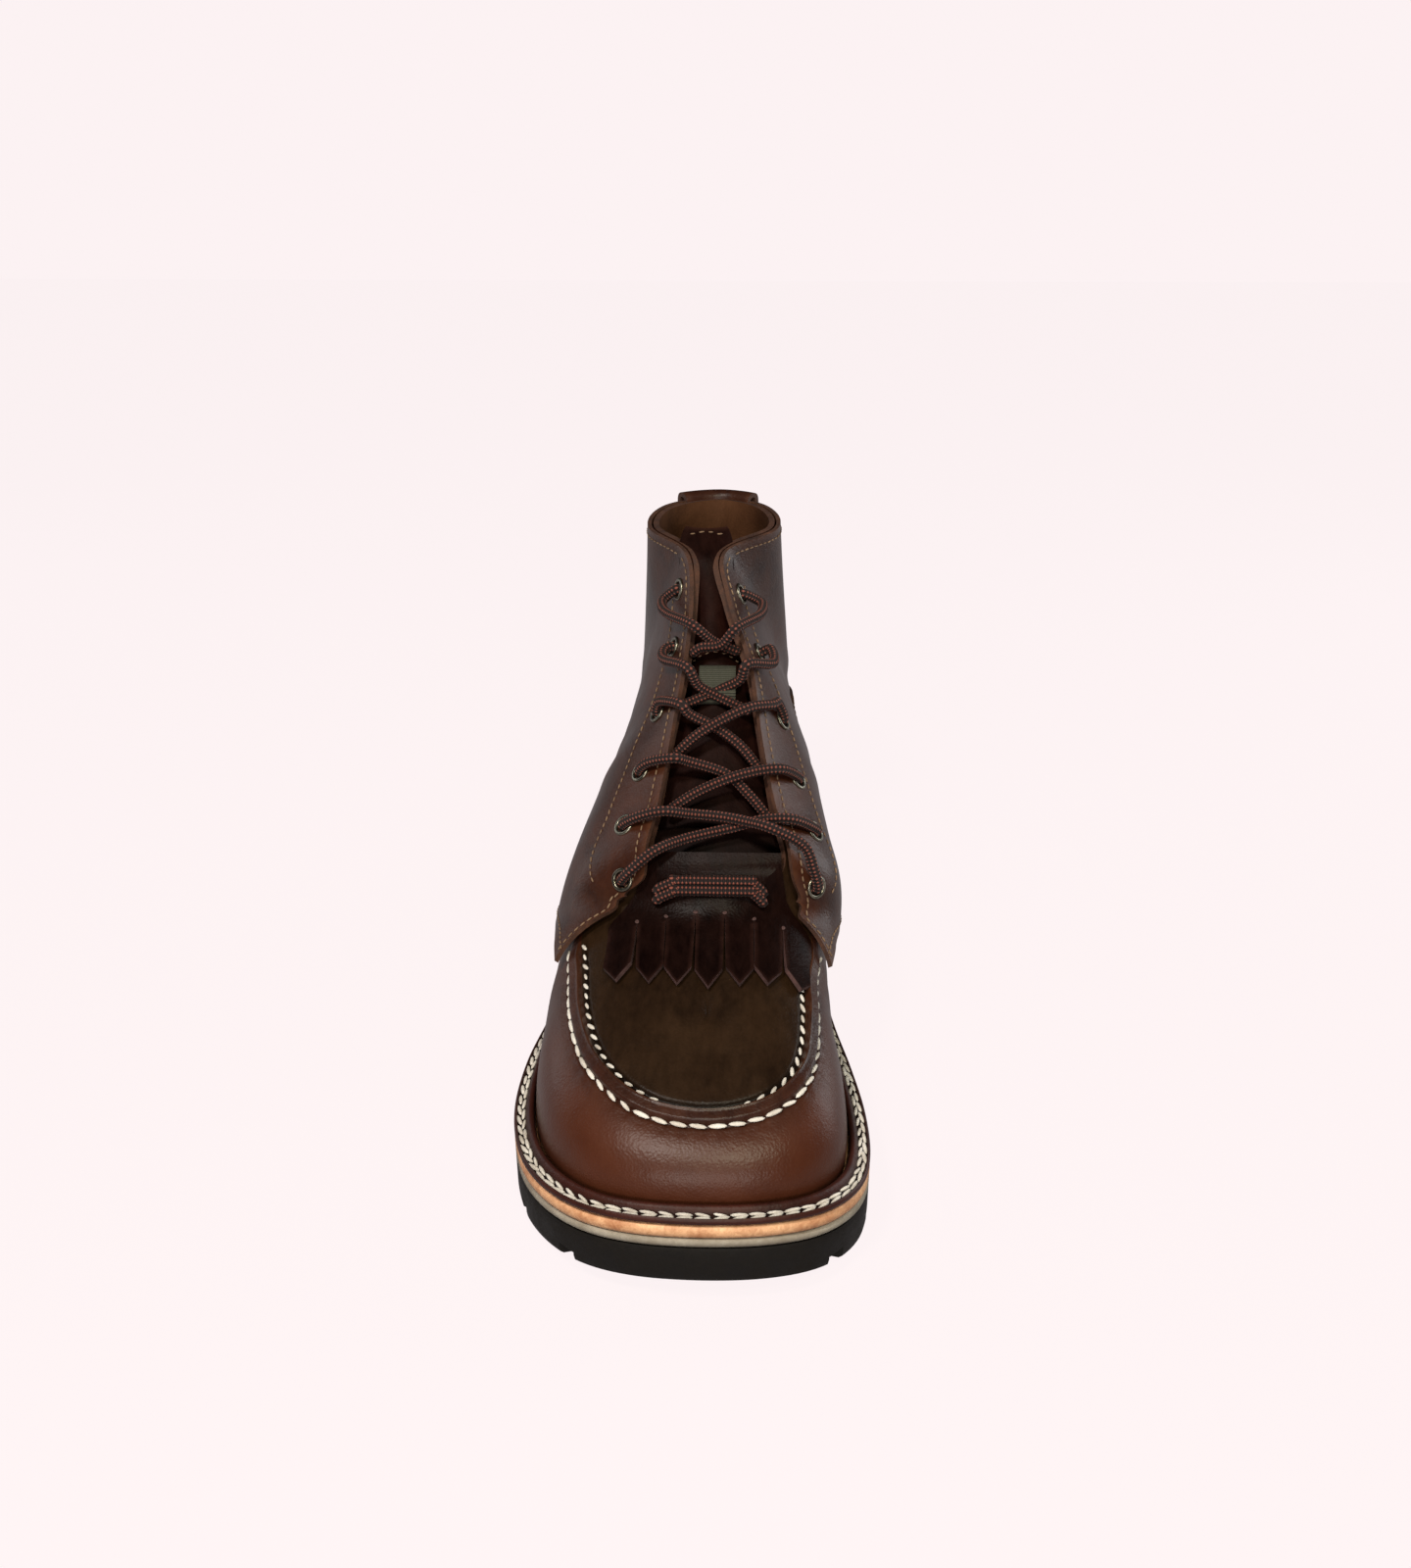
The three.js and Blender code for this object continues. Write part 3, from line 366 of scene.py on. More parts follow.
grain_tree.links.new(ramp(grain_tree, blotches, 0.46, 0.66), grain_out["Patches"])
grain_tree.links.new(height, grain_out["Height"])
grain_tree.links.new(ramp(grain_tree, clouds, 0.3, 0.72), grain_out["Mottle"])
grain_tree.links.new(ramp(grain_tree, streaks, 0.35, 0.75), grain_out["Streaks"])

rub_tree, rub_in, rub_out = new_group("Rubbed Edges", {"Reach": 1.0, "Breakup": 220.0}, ("Mask",))
broken = noise(rub_tree, Vector=object_place(rub_tree), Scale=rub_in["Breakup"], Detail=5.0)
rubbed = maths(rub_tree, "MULTIPLY", mark(rub_tree, "rim"), ramp(rub_tree, broken, 0.3, 0.7, 0.2, 1.0))
rub_tree.links.new(maths(rub_tree, "MULTIPLY", rubbed, rub_in["Reach"]), rub_out["Mask"])

fibre_tree, fibre_in, fibre_out = new_group("Fibres", {"Size": 900.0}, ("Height", "Tint"))
where = object_place(fibre_tree)
threads = noise(fibre_tree, Vector=where, Scale=fibre_in["Size"], Detail=6.0, Roughness=0.75, Distortion=1.5)
matted = maths(fibre_tree, "MULTIPLY", threads, noise(fibre_tree, Vector=where, Scale=160.0, Detail=3.0))
fibre_tree.links.new(threads, fibre_out["Height"])
fibre_tree.links.new(ramp(fibre_tree, matted, 0.12, 0.42), fibre_out["Tint"])

dust_tree, dust_in, dust_out = new_group("Fine Dust", {"Amount": 0.5}, ("Mask",))
facing = add(dust_tree, "ShaderNodeSeparateXYZ",
             {0: add(dust_tree, "ShaderNodeNewGeometry").outputs["Normal"]}).outputs["Z"]
specks = noise(dust_tree, Vector=object_place(dust_tree), Scale=420.0, Detail=7.0, Roughness=0.7)
settled = maths(dust_tree, "MULTIPLY", ramp(dust_tree, facing, -0.2, 1.0, 0.25, 1.0),
                ramp(dust_tree, specks, 0.45, 0.75))
dust_tree.links.new(maths(dust_tree, "MULTIPLY", settled, dust_in["Amount"]), dust_out["Mask"])
print("groups:", [group.name for group in bpy.data.node_groups])


# %% The leathers
SHADED = (0.0035, 0.0022, 0.002, 1)  # the colour of painted shade, in channels, under edges, over the welt and in the throat
PATCH_SHARE, PATCH_TONE = 0.62, 0.8  # how far the dark patches cover, and their share of the deep brown
# how much of the light streaks shows, and how many times the warm brown the painted highlight is
STREAK_SHARE, PAINTED_HIGHLIGHT_TONE = 0.3, 1.7


def leather(name, deep, warm, worn, rough=0.38, coat=0.0, shine=0.24):
    """Oiled leather: deep and warm are its two browns, and worn is the colour of its rubbed edges"""
    material, tree, shader = start_material(name)
    grain = use(tree, grain_tree)
    patched = maths(tree, "MULTIPLY", grain["Patches"], PATCH_SHARE)
    streaked = maths(tree, "MULTIPLY", grain["Streaks"], STREAK_SHARE)
    colour = mix(tree, grain["Mottle"], deep + (1,), warm + (1,))
    colour = mix(tree, patched, colour, tuple(PATCH_TONE * v for v in deep) + (1,))
    colour = mix(tree, streaked, colour, worn + (1,))
    # A painted highlight, lighter than the warm brown, where the mesh marks it
    colour = mix(tree, mark(tree, "glow"), colour, tuple(PAINTED_HIGHLIGHT_TONE * v for v in warm) + (1,))
    # Painted shade, where the mesh marks it
    colour = mix(tree, mark(tree, "shade"), colour, SHADED)
    colour = mix(tree, use(tree, rub_tree)["Mask"], colour, worn + (1,))
    uneven = ramp(tree, grain["Mottle"], 0.0, 1.0, rough - 0.05, rough + 0.09)
    tree.links.new(colour, shader.inputs["Base Color"])
    tree.links.new(uneven, shader.inputs["Roughness"])
    tree.links.new(bump(tree, grain["Height"], 0.35, 0.0005), shader.inputs["Normal"])
    shader.inputs["Coat Weight"].default_value = coat
    shader.inputs["Coat Roughness"].default_value = 0.3
    shader.inputs["Specular IOR Level"].default_value = shine
    return material


oiled_brown = leather("oiled_brown", (0.0085, 0.002, 0.001), (0.052, 0.0135, 0.0055),
                      (0.09, 0.034, 0.016), coat=0.02)
dark_plug = leather("dark_plug", (0.008, 0.0036, 0.0016), (0.026, 0.0125, 0.005),
                    (0.06, 0.03, 0.015), shine=0.12)
fringe_leather = leather("fringe_leather", (0.0025, 0.0007, 0.0005), (0.007, 0.002, 0.0013),
                         (0.03, 0.012, 0.009), shine=0.06)
tongue_leather = leather("tongue_leather", (0.0035, 0.0009, 0.0006), (0.0125, 0.0026, 0.0016),
                         (0.04, 0.015, 0.01), rough=0.55, shine=0.05)
welt_leather = leather("welt_leather", (0.019, 0.004, 0.0022), (0.055, 0.0095, 0.0045),
                       (0.08, 0.022, 0.012), rough=0.48, coat=0.02)
lining_leather = leather("lining_leather", (0.042, 0.016, 0.007), (0.105, 0.044, 0.02),
                         (0.14, 0.06, 0.03), rough=0.6, shine=0.1)


def raw_edge(name, low, high, size=900.0, rough=0.8):
    """Cut leather or thread, where the fibres show"""
    material, tree, shader = start_material(name)
    fibres = use(tree, fibre_tree, Size=size)
    tree.links.new(mix(tree, fibres["Tint"], low + (1,), high + (1,)), shader.inputs["Base Color"])
    tree.links.new(ramp(tree, fibres["Tint"], 0.0, 1.0, rough - 0.1, rough), shader.inputs["Roughness"])
    tree.links.new(bump(tree, fibres["Height"], 0.6, 0.0003), shader.inputs["Normal"])
    return material


cut_edge = raw_edge("cut_edge", (0.022, 0.007, 0.0034), (0.10, 0.036, 0.016))
fringe_edge = raw_edge("fringe_edge", (0.03, 0.013, 0.012), (0.12, 0.055, 0.05))
thread_white = raw_edge("thread_white", (0.46, 0.40, 0.34), (0.95, 0.91, 0.85), size=1500.0)
thread_tan = raw_edge("thread_tan", (0.10, 0.055, 0.03), (0.30, 0.19, 0.11), size=1500.0)
tan_edge = raw_edge("tan_edge", (0.44, 0.17, 0.07), (0.95, 0.56, 0.31), size=420.0, rough=0.6)
grey_edge = raw_edge("grey_edge", (0.22, 0.185, 0.14), (0.38, 0.34, 0.28), size=700.0, rough=0.75)
print("materials:", len(bpy.data.materials))


# %% Rubber, metal, webbing and the braided lace
def rubber(name):
    material, tree, shader = start_material(name)
    fibres = use(tree, fibre_tree, Size=500.0)
    colour = mix(tree, fibres["Tint"], (0.003, 0.0022, 0.0016, 1), (0.007, 0.005, 0.0034, 1))
    colour = mix(tree, use(tree, dust_tree, Amount=0.1)["Mask"], colour, (0.06, 0.048, 0.038, 1))
    tree.links.new(colour, shader.inputs["Base Color"])
    tree.links.new(ramp(tree, fibres["Tint"], 0.0, 1.0, 0.55, 0.8), shader.inputs["Roughness"])
    tree.links.new(bump(tree, fibres["Height"], 0.45, 0.0003), shader.inputs["Normal"])
    shader.inputs["Specular IOR Level"].default_value = 0.2
    return material


def metal(name):
    material, tree, shader = start_material(name)
    fibres = use(tree, fibre_tree, Size=300.0)
    tree.links.new(mix(tree, fibres["Tint"], (0.09, 0.085, 0.062, 1), (0.30, 0.28, 0.22, 1)),
                   shader.inputs["Base Color"])
    tree.links.new(ramp(tree, fibres["Tint"], 0.0, 1.0, 0.24, 0.42), shader.inputs["Roughness"])
    shader.inputs["Metallic"].default_value = 1.0
    return material


def woven(name, base, fleck, across, along, dots):
    """Braid or webbing on the piece's own UV map: U runs round or across, V runs along, in millimetres"""
    material, tree, shader = start_material(name)
    uv = out_of(tree, "ShaderNodeUVMap", uv_map="lay")
    place = add(tree, "ShaderNodeSeparateXYZ", {0: uv}).outputs
    turn = maths(tree, "MULTIPLY", place["X"], math.tau * across)
    run = maths(tree, "MULTIPLY", place["Y"], math.tau / along)
    one = maths(tree, "SINE", maths(tree, "ADD", turn, run))
    other = maths(tree, "SINE", maths(tree, "SUBTRACT", turn, run))
    over = maths(tree, "MULTIPLY", one, other)
    colour = mix(tree, ramp(tree, over, dots, dots + 0.3), base + (1,), fleck + (1,))
    tree.links.new(colour, shader.inputs["Base Color"])
    tree.links.new(ramp(tree, over, -1.0, 1.0, 0.9, 0.7), shader.inputs["Roughness"])
    tree.links.new(bump(tree, over, 0.8, 0.0006), shader.inputs["Normal"])
    return material


BRAID_TURNS, BRAID_PITCH = 3.0, 2.6  # flecks round the lace, and mm from one fleck to the next
black_rubber = rubber("black_rubber")
old_nickel = metal("old_nickel")
braid = woven("braid", (0.0085, 0.0018, 0.0013), (0.23, 0.062, 0.04), BRAID_TURNS, BRAID_PITCH, 0.3)
tab_webbing = woven("tab_webbing", (0.055, 0.055, 0.038), (0.15, 0.15, 0.11), 16.0, 1.6, 0.1)

floor_material, tree, shader = start_material("pale_floor")
shader.inputs["Base Color"].default_value = (0.035, 0.032, 0.032, 1)
shader.inputs["Roughness"].default_value = 1.0
shader.inputs["Specular IOR Level"].default_value = 0.0
shader.inputs["Emission Color"].default_value = PALE
rays = add(tree, "ShaderNodeLightPath").outputs
mirrored = ramp(tree, rays["Is Glossy Ray"], 0.0, 1.0, FLOOR_FELT, FLOOR_MIRRORED)
seen = ramp(tree, rays["Is Camera Ray"], 0.0, 1.0, 0.0, FLOOR_SEEN)
tree.links.new(maths(tree, "MAXIMUM", seen, mirrored), shader.inputs["Emission Strength"])

world = bpy.data.worlds.new("studio")
world.use_nodes = True
bpy.context.scene.world = world
tree = world.node_tree
tree.nodes.clear()
seen = out_of(tree, "ShaderNodeBackground", {"Color": PALE, "Strength": 1.0})
felt = out_of(tree, "ShaderNodeBackground", {"Color": (0.9, 0.92, 1.0, 1), "Strength": 0.06})
direct = add(tree, "ShaderNodeLightPath").outputs["Is Camera Ray"]
both = out_of(tree, "ShaderNodeMixShader", {0: direct, 1: felt, 2: seen})
add(tree, "ShaderNodeOutputWorld", {0: both})
bpy.context.scene.view_settings.view_transform = "Standard"

# %% [markdown]
# Most of the boot is sheet leather. A sheet is a grid of points on the skin of the last, welded where two
# patches meet, given its thickness inwards and its own material on the inside and on the cut edge.


# %% Sheet helpers
def plain(piece):
    """The evaluated mesh, with every modifier applied and removed"""
    graph = bpy.context.evaluated_depsgraph_get()
    graph.update()
    made = bpy.data.meshes.new_from_object(piece.evaluated_get(graph))
    piece.modifiers.clear()
    piece.data = made
    return piece


def mended(piece, weld=None):
    """Merges points that are closer than weld, in metres, and turns every face outwards"""
    shape = bmesh.new()
    shape.from_mesh(piece.data)
    if weld:
        bmesh.ops.remove_doubles(shape, verts=shape.verts, dist=weld)
    bmesh.ops.recalc_face_normals(shape, faces=shape.faces)
    shape.to_mesh(piece.data)
    shape.free()
    return piece


def cut_away(piece, cutter):
    knife = piece.modifiers.new("cut", "BOOLEAN")
    knife.operation = "DIFFERENCE"
    knife.object = cutter
    plain(piece)
    bpy.data.objects.remove(cutter)
    return piece


def new_piece(name, points, faces, materials, marks=None, uv=None):
    mesh = bpy.data.meshes.new(name)
    mesh.from_pydata(((np.asarray(points, float) + TO_WORLD) / 1000).tolist(), [], faces)
    for material in materials:
        mesh.materials.append(material)
    for mark, values in (marks or {}).items():
        mesh.attributes.new(mark, "FLOAT", "POINT").data.foreach_set("value", np.asarray(values, np.float32))
    if uv is not None:
        layer = mesh.uv_layers.new(name="lay")
        corners = np.zeros(len(mesh.loops), int)
        mesh.loops.foreach_get("vertex_index", corners)
        layer.data.foreach_set("uv", np.asarray(uv, np.float32)[corners].ravel())
    piece = bpy.data.objects.new(name, mesh)
    bpy.context.scene.collection.objects.link(piece)
    return piece


def grid_faces(rows, columns, start=0, flip=False, closed=False):
    faces = []
    for i in range(rows if closed else rows - 1):
        for j in range(columns - 1):
            n = (i + 1) % rows
            quad = [start + i * columns + j, start + n * columns + j,
                    start + n * columns + j + 1, start + i * columns + j + 1]
            faces.append(quad[::-1] if flip else quad)
    return faces


def sheet(name, patches, thick, materials, weld=0.02, sharp=40.0):
    """A leather sheet from patches of (grid of points, flip, marks); the wall goes inwards"""
    points, faces, marks = [], [], {}
    for grid, flip, patch_marks in patches:
        faces += grid_faces(*grid.shape[:2], start=sum(len(p) for p in points), flip=flip)
        points.append(grid.reshape(-1, 3))
        for mark, values in patch_marks.items():
            marks.setdefault(mark, []).append(np.broadcast_to(values, grid.shape[:2]).ravel())
    joined = {mark: np.concatenate(values) for mark, values in marks.items()}
    piece = new_piece(name, np.concatenate(points), faces, materials, joined)
    shape = bmesh.new()
    shape.from_mesh(piece.data)
    bmesh.ops.remove_doubles(shape, verts=shape.verts, dist=weld / 1000)
    bmesh.ops.dissolve_degenerate(shape, edges=shape.edges, dist=1e-6)
    shape.to_mesh(piece.data)
    shape.free()
    wall = piece.modifiers.new("wall", "SOLIDIFY")
    wall.thickness = thick / 1000
    wall.offset = -1
    wall.use_quality_normals = True
    wall.material_offset = min(1, len(materials) - 1)
    wall.material_offset_rim = min(2, len(materials) - 1)
    return shade(plain(piece), sharp)


def shade(piece, sharp=40.0):
    piece.data.polygons.foreach_set("use_smooth", [True] * len(piece.data.polygons))
    piece.data.set_sharp_from_angle(angle=math.radians(sharp))
    return piece


def dress(piece, finish, *nodes):
    """The piece rides on the boot and stands for its CAD nodes, which are hidden; finish is not used"""
    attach(piece, "root")
    if nodes:
        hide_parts(*nodes)
    print(piece.name, "faces:", len(piece.data.polygons))
    return piece


FAR, FLOOR_Z = 3000, -0.02
floor = new_piece("floor", [[x * FAR, y * FAR, FLOOR_Z] for x, y in ((-1, -1), (1, -1), (1, 1), (-1, 1))],
                  [[0, 1, 2, 3]], [floor_material])

# %% [markdown]
# The sole is a sandwich: black rubber with notches between its side lugs, a thin light grey layer, a
# midsole of rounded tan leather, and the welt with its storm rib. Each layer is one outline with
# its own section swept round it. The outsole's notches are the cuts that the tread makes in its side.


# %% The layers of the sole
WELD = 1e-5  # in metres


def stations(count):
    """Places round the sole, up the lateral side and back down the medial side"""
    half = even_places(count, 0.0)
    sides = np.concatenate([np.full(count, LATERAL), np.full(count - 2, MEDIAL)])
    return sides, np.concatenate([half, half[1:-1][::-1]])


def layer(name, section, bottom, top, materials, low=0.0, count=150):
    """section is a list of (how far in from the edge in mm, height share)"""
    half = even_places(count, 0.0, low, LAST_RIB)
    rings = []
    for inset, share in section:
        sides = []
        for side in (LATERAL, MEDIAL):
            plan = foot(side, half) + outwards(side, half) * (ledge_at(half) - inset)[:, None]
            high = bottom(plan[:, 1]) + (top(plan[:, 1]) - bottom(plan[:, 1])) * share
            sides.append(np.concatenate([plan, high[:, None]], -1))
        rings.append(sides)
    lateral = np.stack([ring[0] for ring in rings], 1)
    medial = np.stack([ring[1] for ring in rings], 1)
    levels = len(section)
    points = np.concatenate([lateral.reshape(-1, 3), medial.reshape(-1, 3)])
    faces = grid_faces(count, levels, 0, flip=True) + grid_faces(count, levels, count * levels)
    other = count * levels
    for i in range(count - 1):
        for level, turn in ((0, 1), (levels - 1, -1)):
            a, b = i * levels + level, (i + 1) * levels + level
            faces.append([a, b, other + b, other + a][::turn])
    for i, turn in ((0, 1), (count - 1, -1)):
        rim = [i * levels + k for k in range(levels)]
        across = [other + k for k in rim][::-1]
        faces.append((rim + across)[::turn])
    return mended(new_piece(name, points, faces, materials), WELD)


def carve(piece, name, boxes):
    """Cuts boxes of (x, y, z, long, wide, deep, turn) out of a piece"""
    points, faces = [], []
    for x, y, z, long, wide, deep, turn in boxes:
        corners = np.array([[sx * long / 2, sy * wide / 2, sz * deep] for sz in (-1, 1)
                            for sx, sy in ((-1, -1), (1, -1), (1, 1), (-1, 1))])
        c, s = math.cos(turn), math.sin(turn)
        corners = corners @ np.array([[c, s, 0], [-s, c, 0], [0, 0, 1]]) + (x, y, z)
        n = 8 * len(points)
        points.append(corners)
        faces += [[n + k for k in quad] for quad in
                  ((3, 2, 1, 0), (4, 5, 6, 7), (0, 1, 5, 4), (1, 2, 6, 5), (2, 3, 7, 6), (3, 0, 4, 7))]
    return cut_away(piece, new_piece(name, np.concatenate(points), faces, []))


def edge_x(side, y):
    places = np.linspace(0.02, LAST_RIB - 0.02, 400)
    place = np.interp(y, column("footY", places) * LENGTH, places)
    plan = foot(side, np.atleast_1d(place)) + outwards(side, np.atleast_1d(place)) * ledge_at(place)
    return plan[0, 0]


TREAD_START, TREAD_END, PITCH = 14, HEEL_START - 34, 21.0
GROOVE, SIDE_CUT, MIDDLE_GROOVE, MIDDLE_CUT = 5.5, 0.62 * BALL_WIDTH / 2, 5.0, BALL_WIDTH / 4
SIDE_TURN = 0.3  # how far the side grooves lean, in radians


def heel_step(y):
    return sole_line(y) + LUG_DEPTH * smooth(y, HEEL_START - 14, HEEL_START - 4)


outsole = layer("outsole_rubber", [(1.2, 0.0), (0.3, 0.06), (0.0, 0.2), (0.0, 0.55), (0.0, 0.9), (0.5, 1.0)],
                heel_step, lambda y: sole_line(y) + OUTSOLE_THICK, [black_rubber])
cuts = []
for y in np.arange(TREAD_START, TREAD_END, PITCH):
    low, between = float(sole_line(y)), y + PITCH / 2
    left, right = edge_x(LATERAL, y), edge_x(MEDIAL, y)
    cuts.append((left, y, low, SIDE_CUT, GROOVE, LUG_DEPTH, SIDE_TURN))
    cuts.append((right, y, low, SIDE_CUT, GROOVE, LUG_DEPTH, -SIDE_TURN))
    cuts.append(((left + right) / 2, between, float(sole_line(between)), MIDDLE_CUT, MIDDLE_GROOVE,
                 LUG_DEPTH, 0))
dress(shade(carve(outsole, "tread_cuts", cuts), 30), "rubber", "outsole")

HEEL_CUT, HEEL_GROOVE, HEEL_CUTS_AT = 34, 5, (228, 250, 270)
fine = np.linspace(0, LAST_RIB, 400)
back_low = float(np.interp(HEEL_START, column("footY", fine) * LENGTH, fine))
heel = layer("heel_block", [(1.0, 0.0), (0.2, 0.12), (0.0, 0.4), (0.0, 0.85), (0.5, 1.0)], lambda y: 0 * y,
             lambda y: sole_line(y) + LUG_DEPTH - GAP, [black_rubber], low=back_low, count=70)
cuts = [(edge_x(side, y), y, 0, HEEL_CUT, HEEL_GROOVE, LUG_DEPTH, 0)
        for y in HEEL_CUTS_AT for side in (LATERAL, MEDIAL)]
dress(shade(carve(heel, "heel_cuts", cuts), 30), "rubber", "heel")

slip = layer("slip_layer_edge", [(0.9, 0.0), (0.2, 0.25), (0.0, 0.5), (0.2, 0.8), (0.9, 1.0)],
             slip_bottom, lambda y: slip_bottom(y) + SLIP_THICK, [grey_edge])
dress(shade(slip, 50), "grey_rubber", "slip_layer")
tan = layer("midsole_edge",
            [(1.5, 0.0), (0.5, 0.1), (0.05, 0.3), (0.0, 0.5), (0.15, 0.72), (0.7, 0.9), (1.6, 1.0)],
            midsole_bottom, midsole_top, [tan_edge])
dress(shade(tan, 50), "tan_leather", "midsole")

# %% [markdown]
# The welt is a strip of leather sewn to the upper all round, with a raised storm rib that keeps water
# out of the seam. Two rows of heavy off-white thread lie together in a channel beside the rib, and the
# channel and the foot of the upper's wall get painted shade. The section is drawn once in millimetres from
# the wall of the upper, and swept round the outline.

# %% The welt
STATIONS = 230
welt_sides, welt_places = stations(STATIONS)


def welt_frame(side, place):
    """At places round the boot: foot point, way out, and how far out the upper's wall, the rib's outer
    foot and the edge of the welt lie"""
    start, out = foot(side, place), outwards(side, place)
    lean = column("flare", place) * BALL_WIDTH / (column("rise", place) * rib_tall(start, place))
    wall = lean * (WELT_THICK + WELT_RIB) + 2 * GAP
    return start, out, wall, wall + WELT_RIB_WIDE, ledge_at(place)


def welt_point(side, place, across, high):
    start, out, *_ = welt_frame(side, place)
    plan = start + out * across[:, None]
    return np.concatenate([plan, (midsole_top(plan[:, 1]) + high)[:, None]], -1)


*_, wall, rib, ledge = welt_frame(welt_sides, welt_places)
flat = ledge - rib
one = np.ones_like(ledge)
# Each point of the section: how far out it lies, its height over the midsole, and how much painted
# shade it gets, most in the stitch channel and against the upper's wall
section = [
    (0.6 * one, GAP, 0.3), (ledge - 0.9, GAP, 0.0), (ledge - 0.1, 0.9, 0.0), (ledge, 1.7, 0.0),
    (ledge - 0.25, 2.4, 0.0), (ledge - 0.8, 2.8, 0.0), (rib + 0.84 * flat, 2.85, 0.1),
    (rib + 0.76 * flat, 2.6, 0.6), (rib + 0.7 * flat, 1.7, 1.0), (rib + 0.45 * flat, 1.35, 1.0),
    (rib + 0.2 * flat, 1.6, 1.0), (rib + 0.1 * flat, 2.5, 0.6), (rib - 0.25, 3.6, 0.1), (rib - 0.9, 4.4, 0.0),
    (wall + 0.95, 4.6, 0.0), (wall + 0.3, 4.3, 0.5), (wall, 3.4, 1.0),
]
rings = np.stack([welt_point(welt_sides, welt_places, across, high * one) for across, high, _ in section], 1)
painted_welt_shade = np.broadcast_to(np.array([s[2] for s in section]), rings.shape[:2])
closed_rings = np.concatenate([rings, rings[:, :1]], 1)
marks = (np.concatenate([painted_welt_shade, painted_welt_shade[:, :1]], 1) * 0.75).ravel()
welt = new_piece("welt_strip", closed_rings.reshape(-1, 3), grid_faces(*closed_rings.shape[:2], closed=True),
                 [welt_leather], {"shade": marks, "rim": 0 * marks, "glow": 0 * marks})
dress(shade(mended(welt, WELD), 60), "leather", "welt")

# %% [markdown]
# The vamp and the plug are joined by the hand-sewn moc seam: the vamp's edge is pulled up over the plug's
# and the two are whipped together, so the seam stands proud as a soft band. Fat off-white stitches lie at
# its outer foot and pull small puckers into the leather, and a second row lies in a channel on the plug's
# side, with painted shade in the channel and along the foot. The seam is modelled as real relief, because
# it catches the light in every view.

# %% The upper with its moc seam
STITCH_PITCH = 5.6
seam_table = np.linspace(0, SEAM_END, 200)
seam_run = {side: travel(skin(side, seam_table, SEAM_UP)) for side in (LATERAL, MEDIAL)}


def seam_distance(side, place, up):
    """Millimetres from the seam, towards the plug, and millimetres along the seam from the toe"""
    across = stretch(side, place, SEAM_UP)
    return (up - SEAM_UP) * across, np.interp(place, seam_table, seam_run[side])


def seam_fade(place):
    return 1 - smooth(place, SEAM_END - 0.3, SEAM_END + 0.3)


def seam_relief(side, place, up):
    """The seam's band with its lip, the pulled line at its foot and the channel, as height in mm"""
    d, s = seam_distance(side, place, up)
    fade = seam_fade(place)
    pucker = 0.5 + 0.5 * np.cos(math.tau * s / STITCH_PITCH)
    band = smooth(d, -2.9, -1.3) * (1 - smooth(d, 1.9, 2.5)) * (1.9 + 0.12 * pucker)
    lip = 0.35 * np.exp(-((d - 1.7) / 0.35) ** 2)
    foot_line = -0.5 * np.exp(-((d + 3.1) / 0.9) ** 2) * (0.5 + 0.7 * pucker)
    pulls = -0.28 * pucker * np.exp(-((d + 5.0) / 1.8) ** 2)
    channel = -1.0 * np.exp(-((d - 3.6) / 0.9) ** 2)
    return fade * (band + lip + foot_line + pulls + channel)


# Creases: side, a line of (place, up), depth and half-width in millimetres
CREASES = [
    (LATERAL, [(6.2, 0.12), (6.6, 0.22), (6.9, 0.34)], 0.5, 3.0),
    (LATERAL, [(7.2, 0.10), (7.5, 0.2), (7.7, 0.32)], 0.5, 3.0),
    (LATERAL, [(10.4, 0.35), (10.6, 0.5), (10.5, 0.66)], 0.45, 4.5),
    (LATERAL, [(11.6, 0.45), (11.9, 0.58), (11.7, 0.74)], 0.4, 4.0),
    (LATERAL, [(12.6, 0.38), (13.4, 0.44), (14.4, 0.46)], 0.6, 4.5),
    (MEDIAL, [(6.2, 0.14), (6.6, 0.24), (6.8, 0.36)], 0.5, 3.0),
    (MEDIAL, [(7.3, 0.12), (7.6, 0.24), (7.7, 0.36)], 0.5, 3.0),
    (MEDIAL, [(10.2, 0.38), (10.5, 0.52), (10.4, 0.7)], 0.4, 4.5),
    (MEDIAL, [(11.8, 0.42), (12.1, 0.56), (11.9, 0.72)], 0.3, 4.0),
    (MEDIAL, [(12.7, 0.4), (13.5, 0.46), (14.5, 0.47)], 0.6, 4.5),
]


def crease_relief(side, points):
    """Soft troughs with a low ridge beside them, at points on the skin"""
    total = np.zeros(points.shape[:-1])
    for crease_side, line, depth, wide in CREASES:
        if crease_side != side:
            continue
        line = np.array(line)
        t = np.linspace(0, 1, 24)
        knots = np.linspace(0, 1, len(line))
        path = skin(side, np.interp(t, knots, line[:, 0]), np.interp(t, knots, line[:, 1]))
        near = np.full(points.shape[:-1], 1e9)
        share = np.zeros(points.shape[:-1])
        for k, spot in zip(t, path):
            d = np.linalg.norm(points - spot, axis=-1)
            share = np.where(d < near, k, share)
            near = np.minimum(near, d)
        ends = np.sin(np.pi * np.clip(share, 0.04, 0.96))
        ridge, trough = np.exp(-((near - 1.9 * wide) / wide) ** 2), np.exp(-(near / wide) ** 2)
        total += ends * depth * (0.5 * ridge - trough)
    return total


def upper_top(place):
    throat = smooth(place, THROAT_RIB, THROAT_RIB + 0.6) * (1 - smooth(place, CORNER_RIB - 1.2, CORNER_RIB))
    return 1 - 0.02 * throat


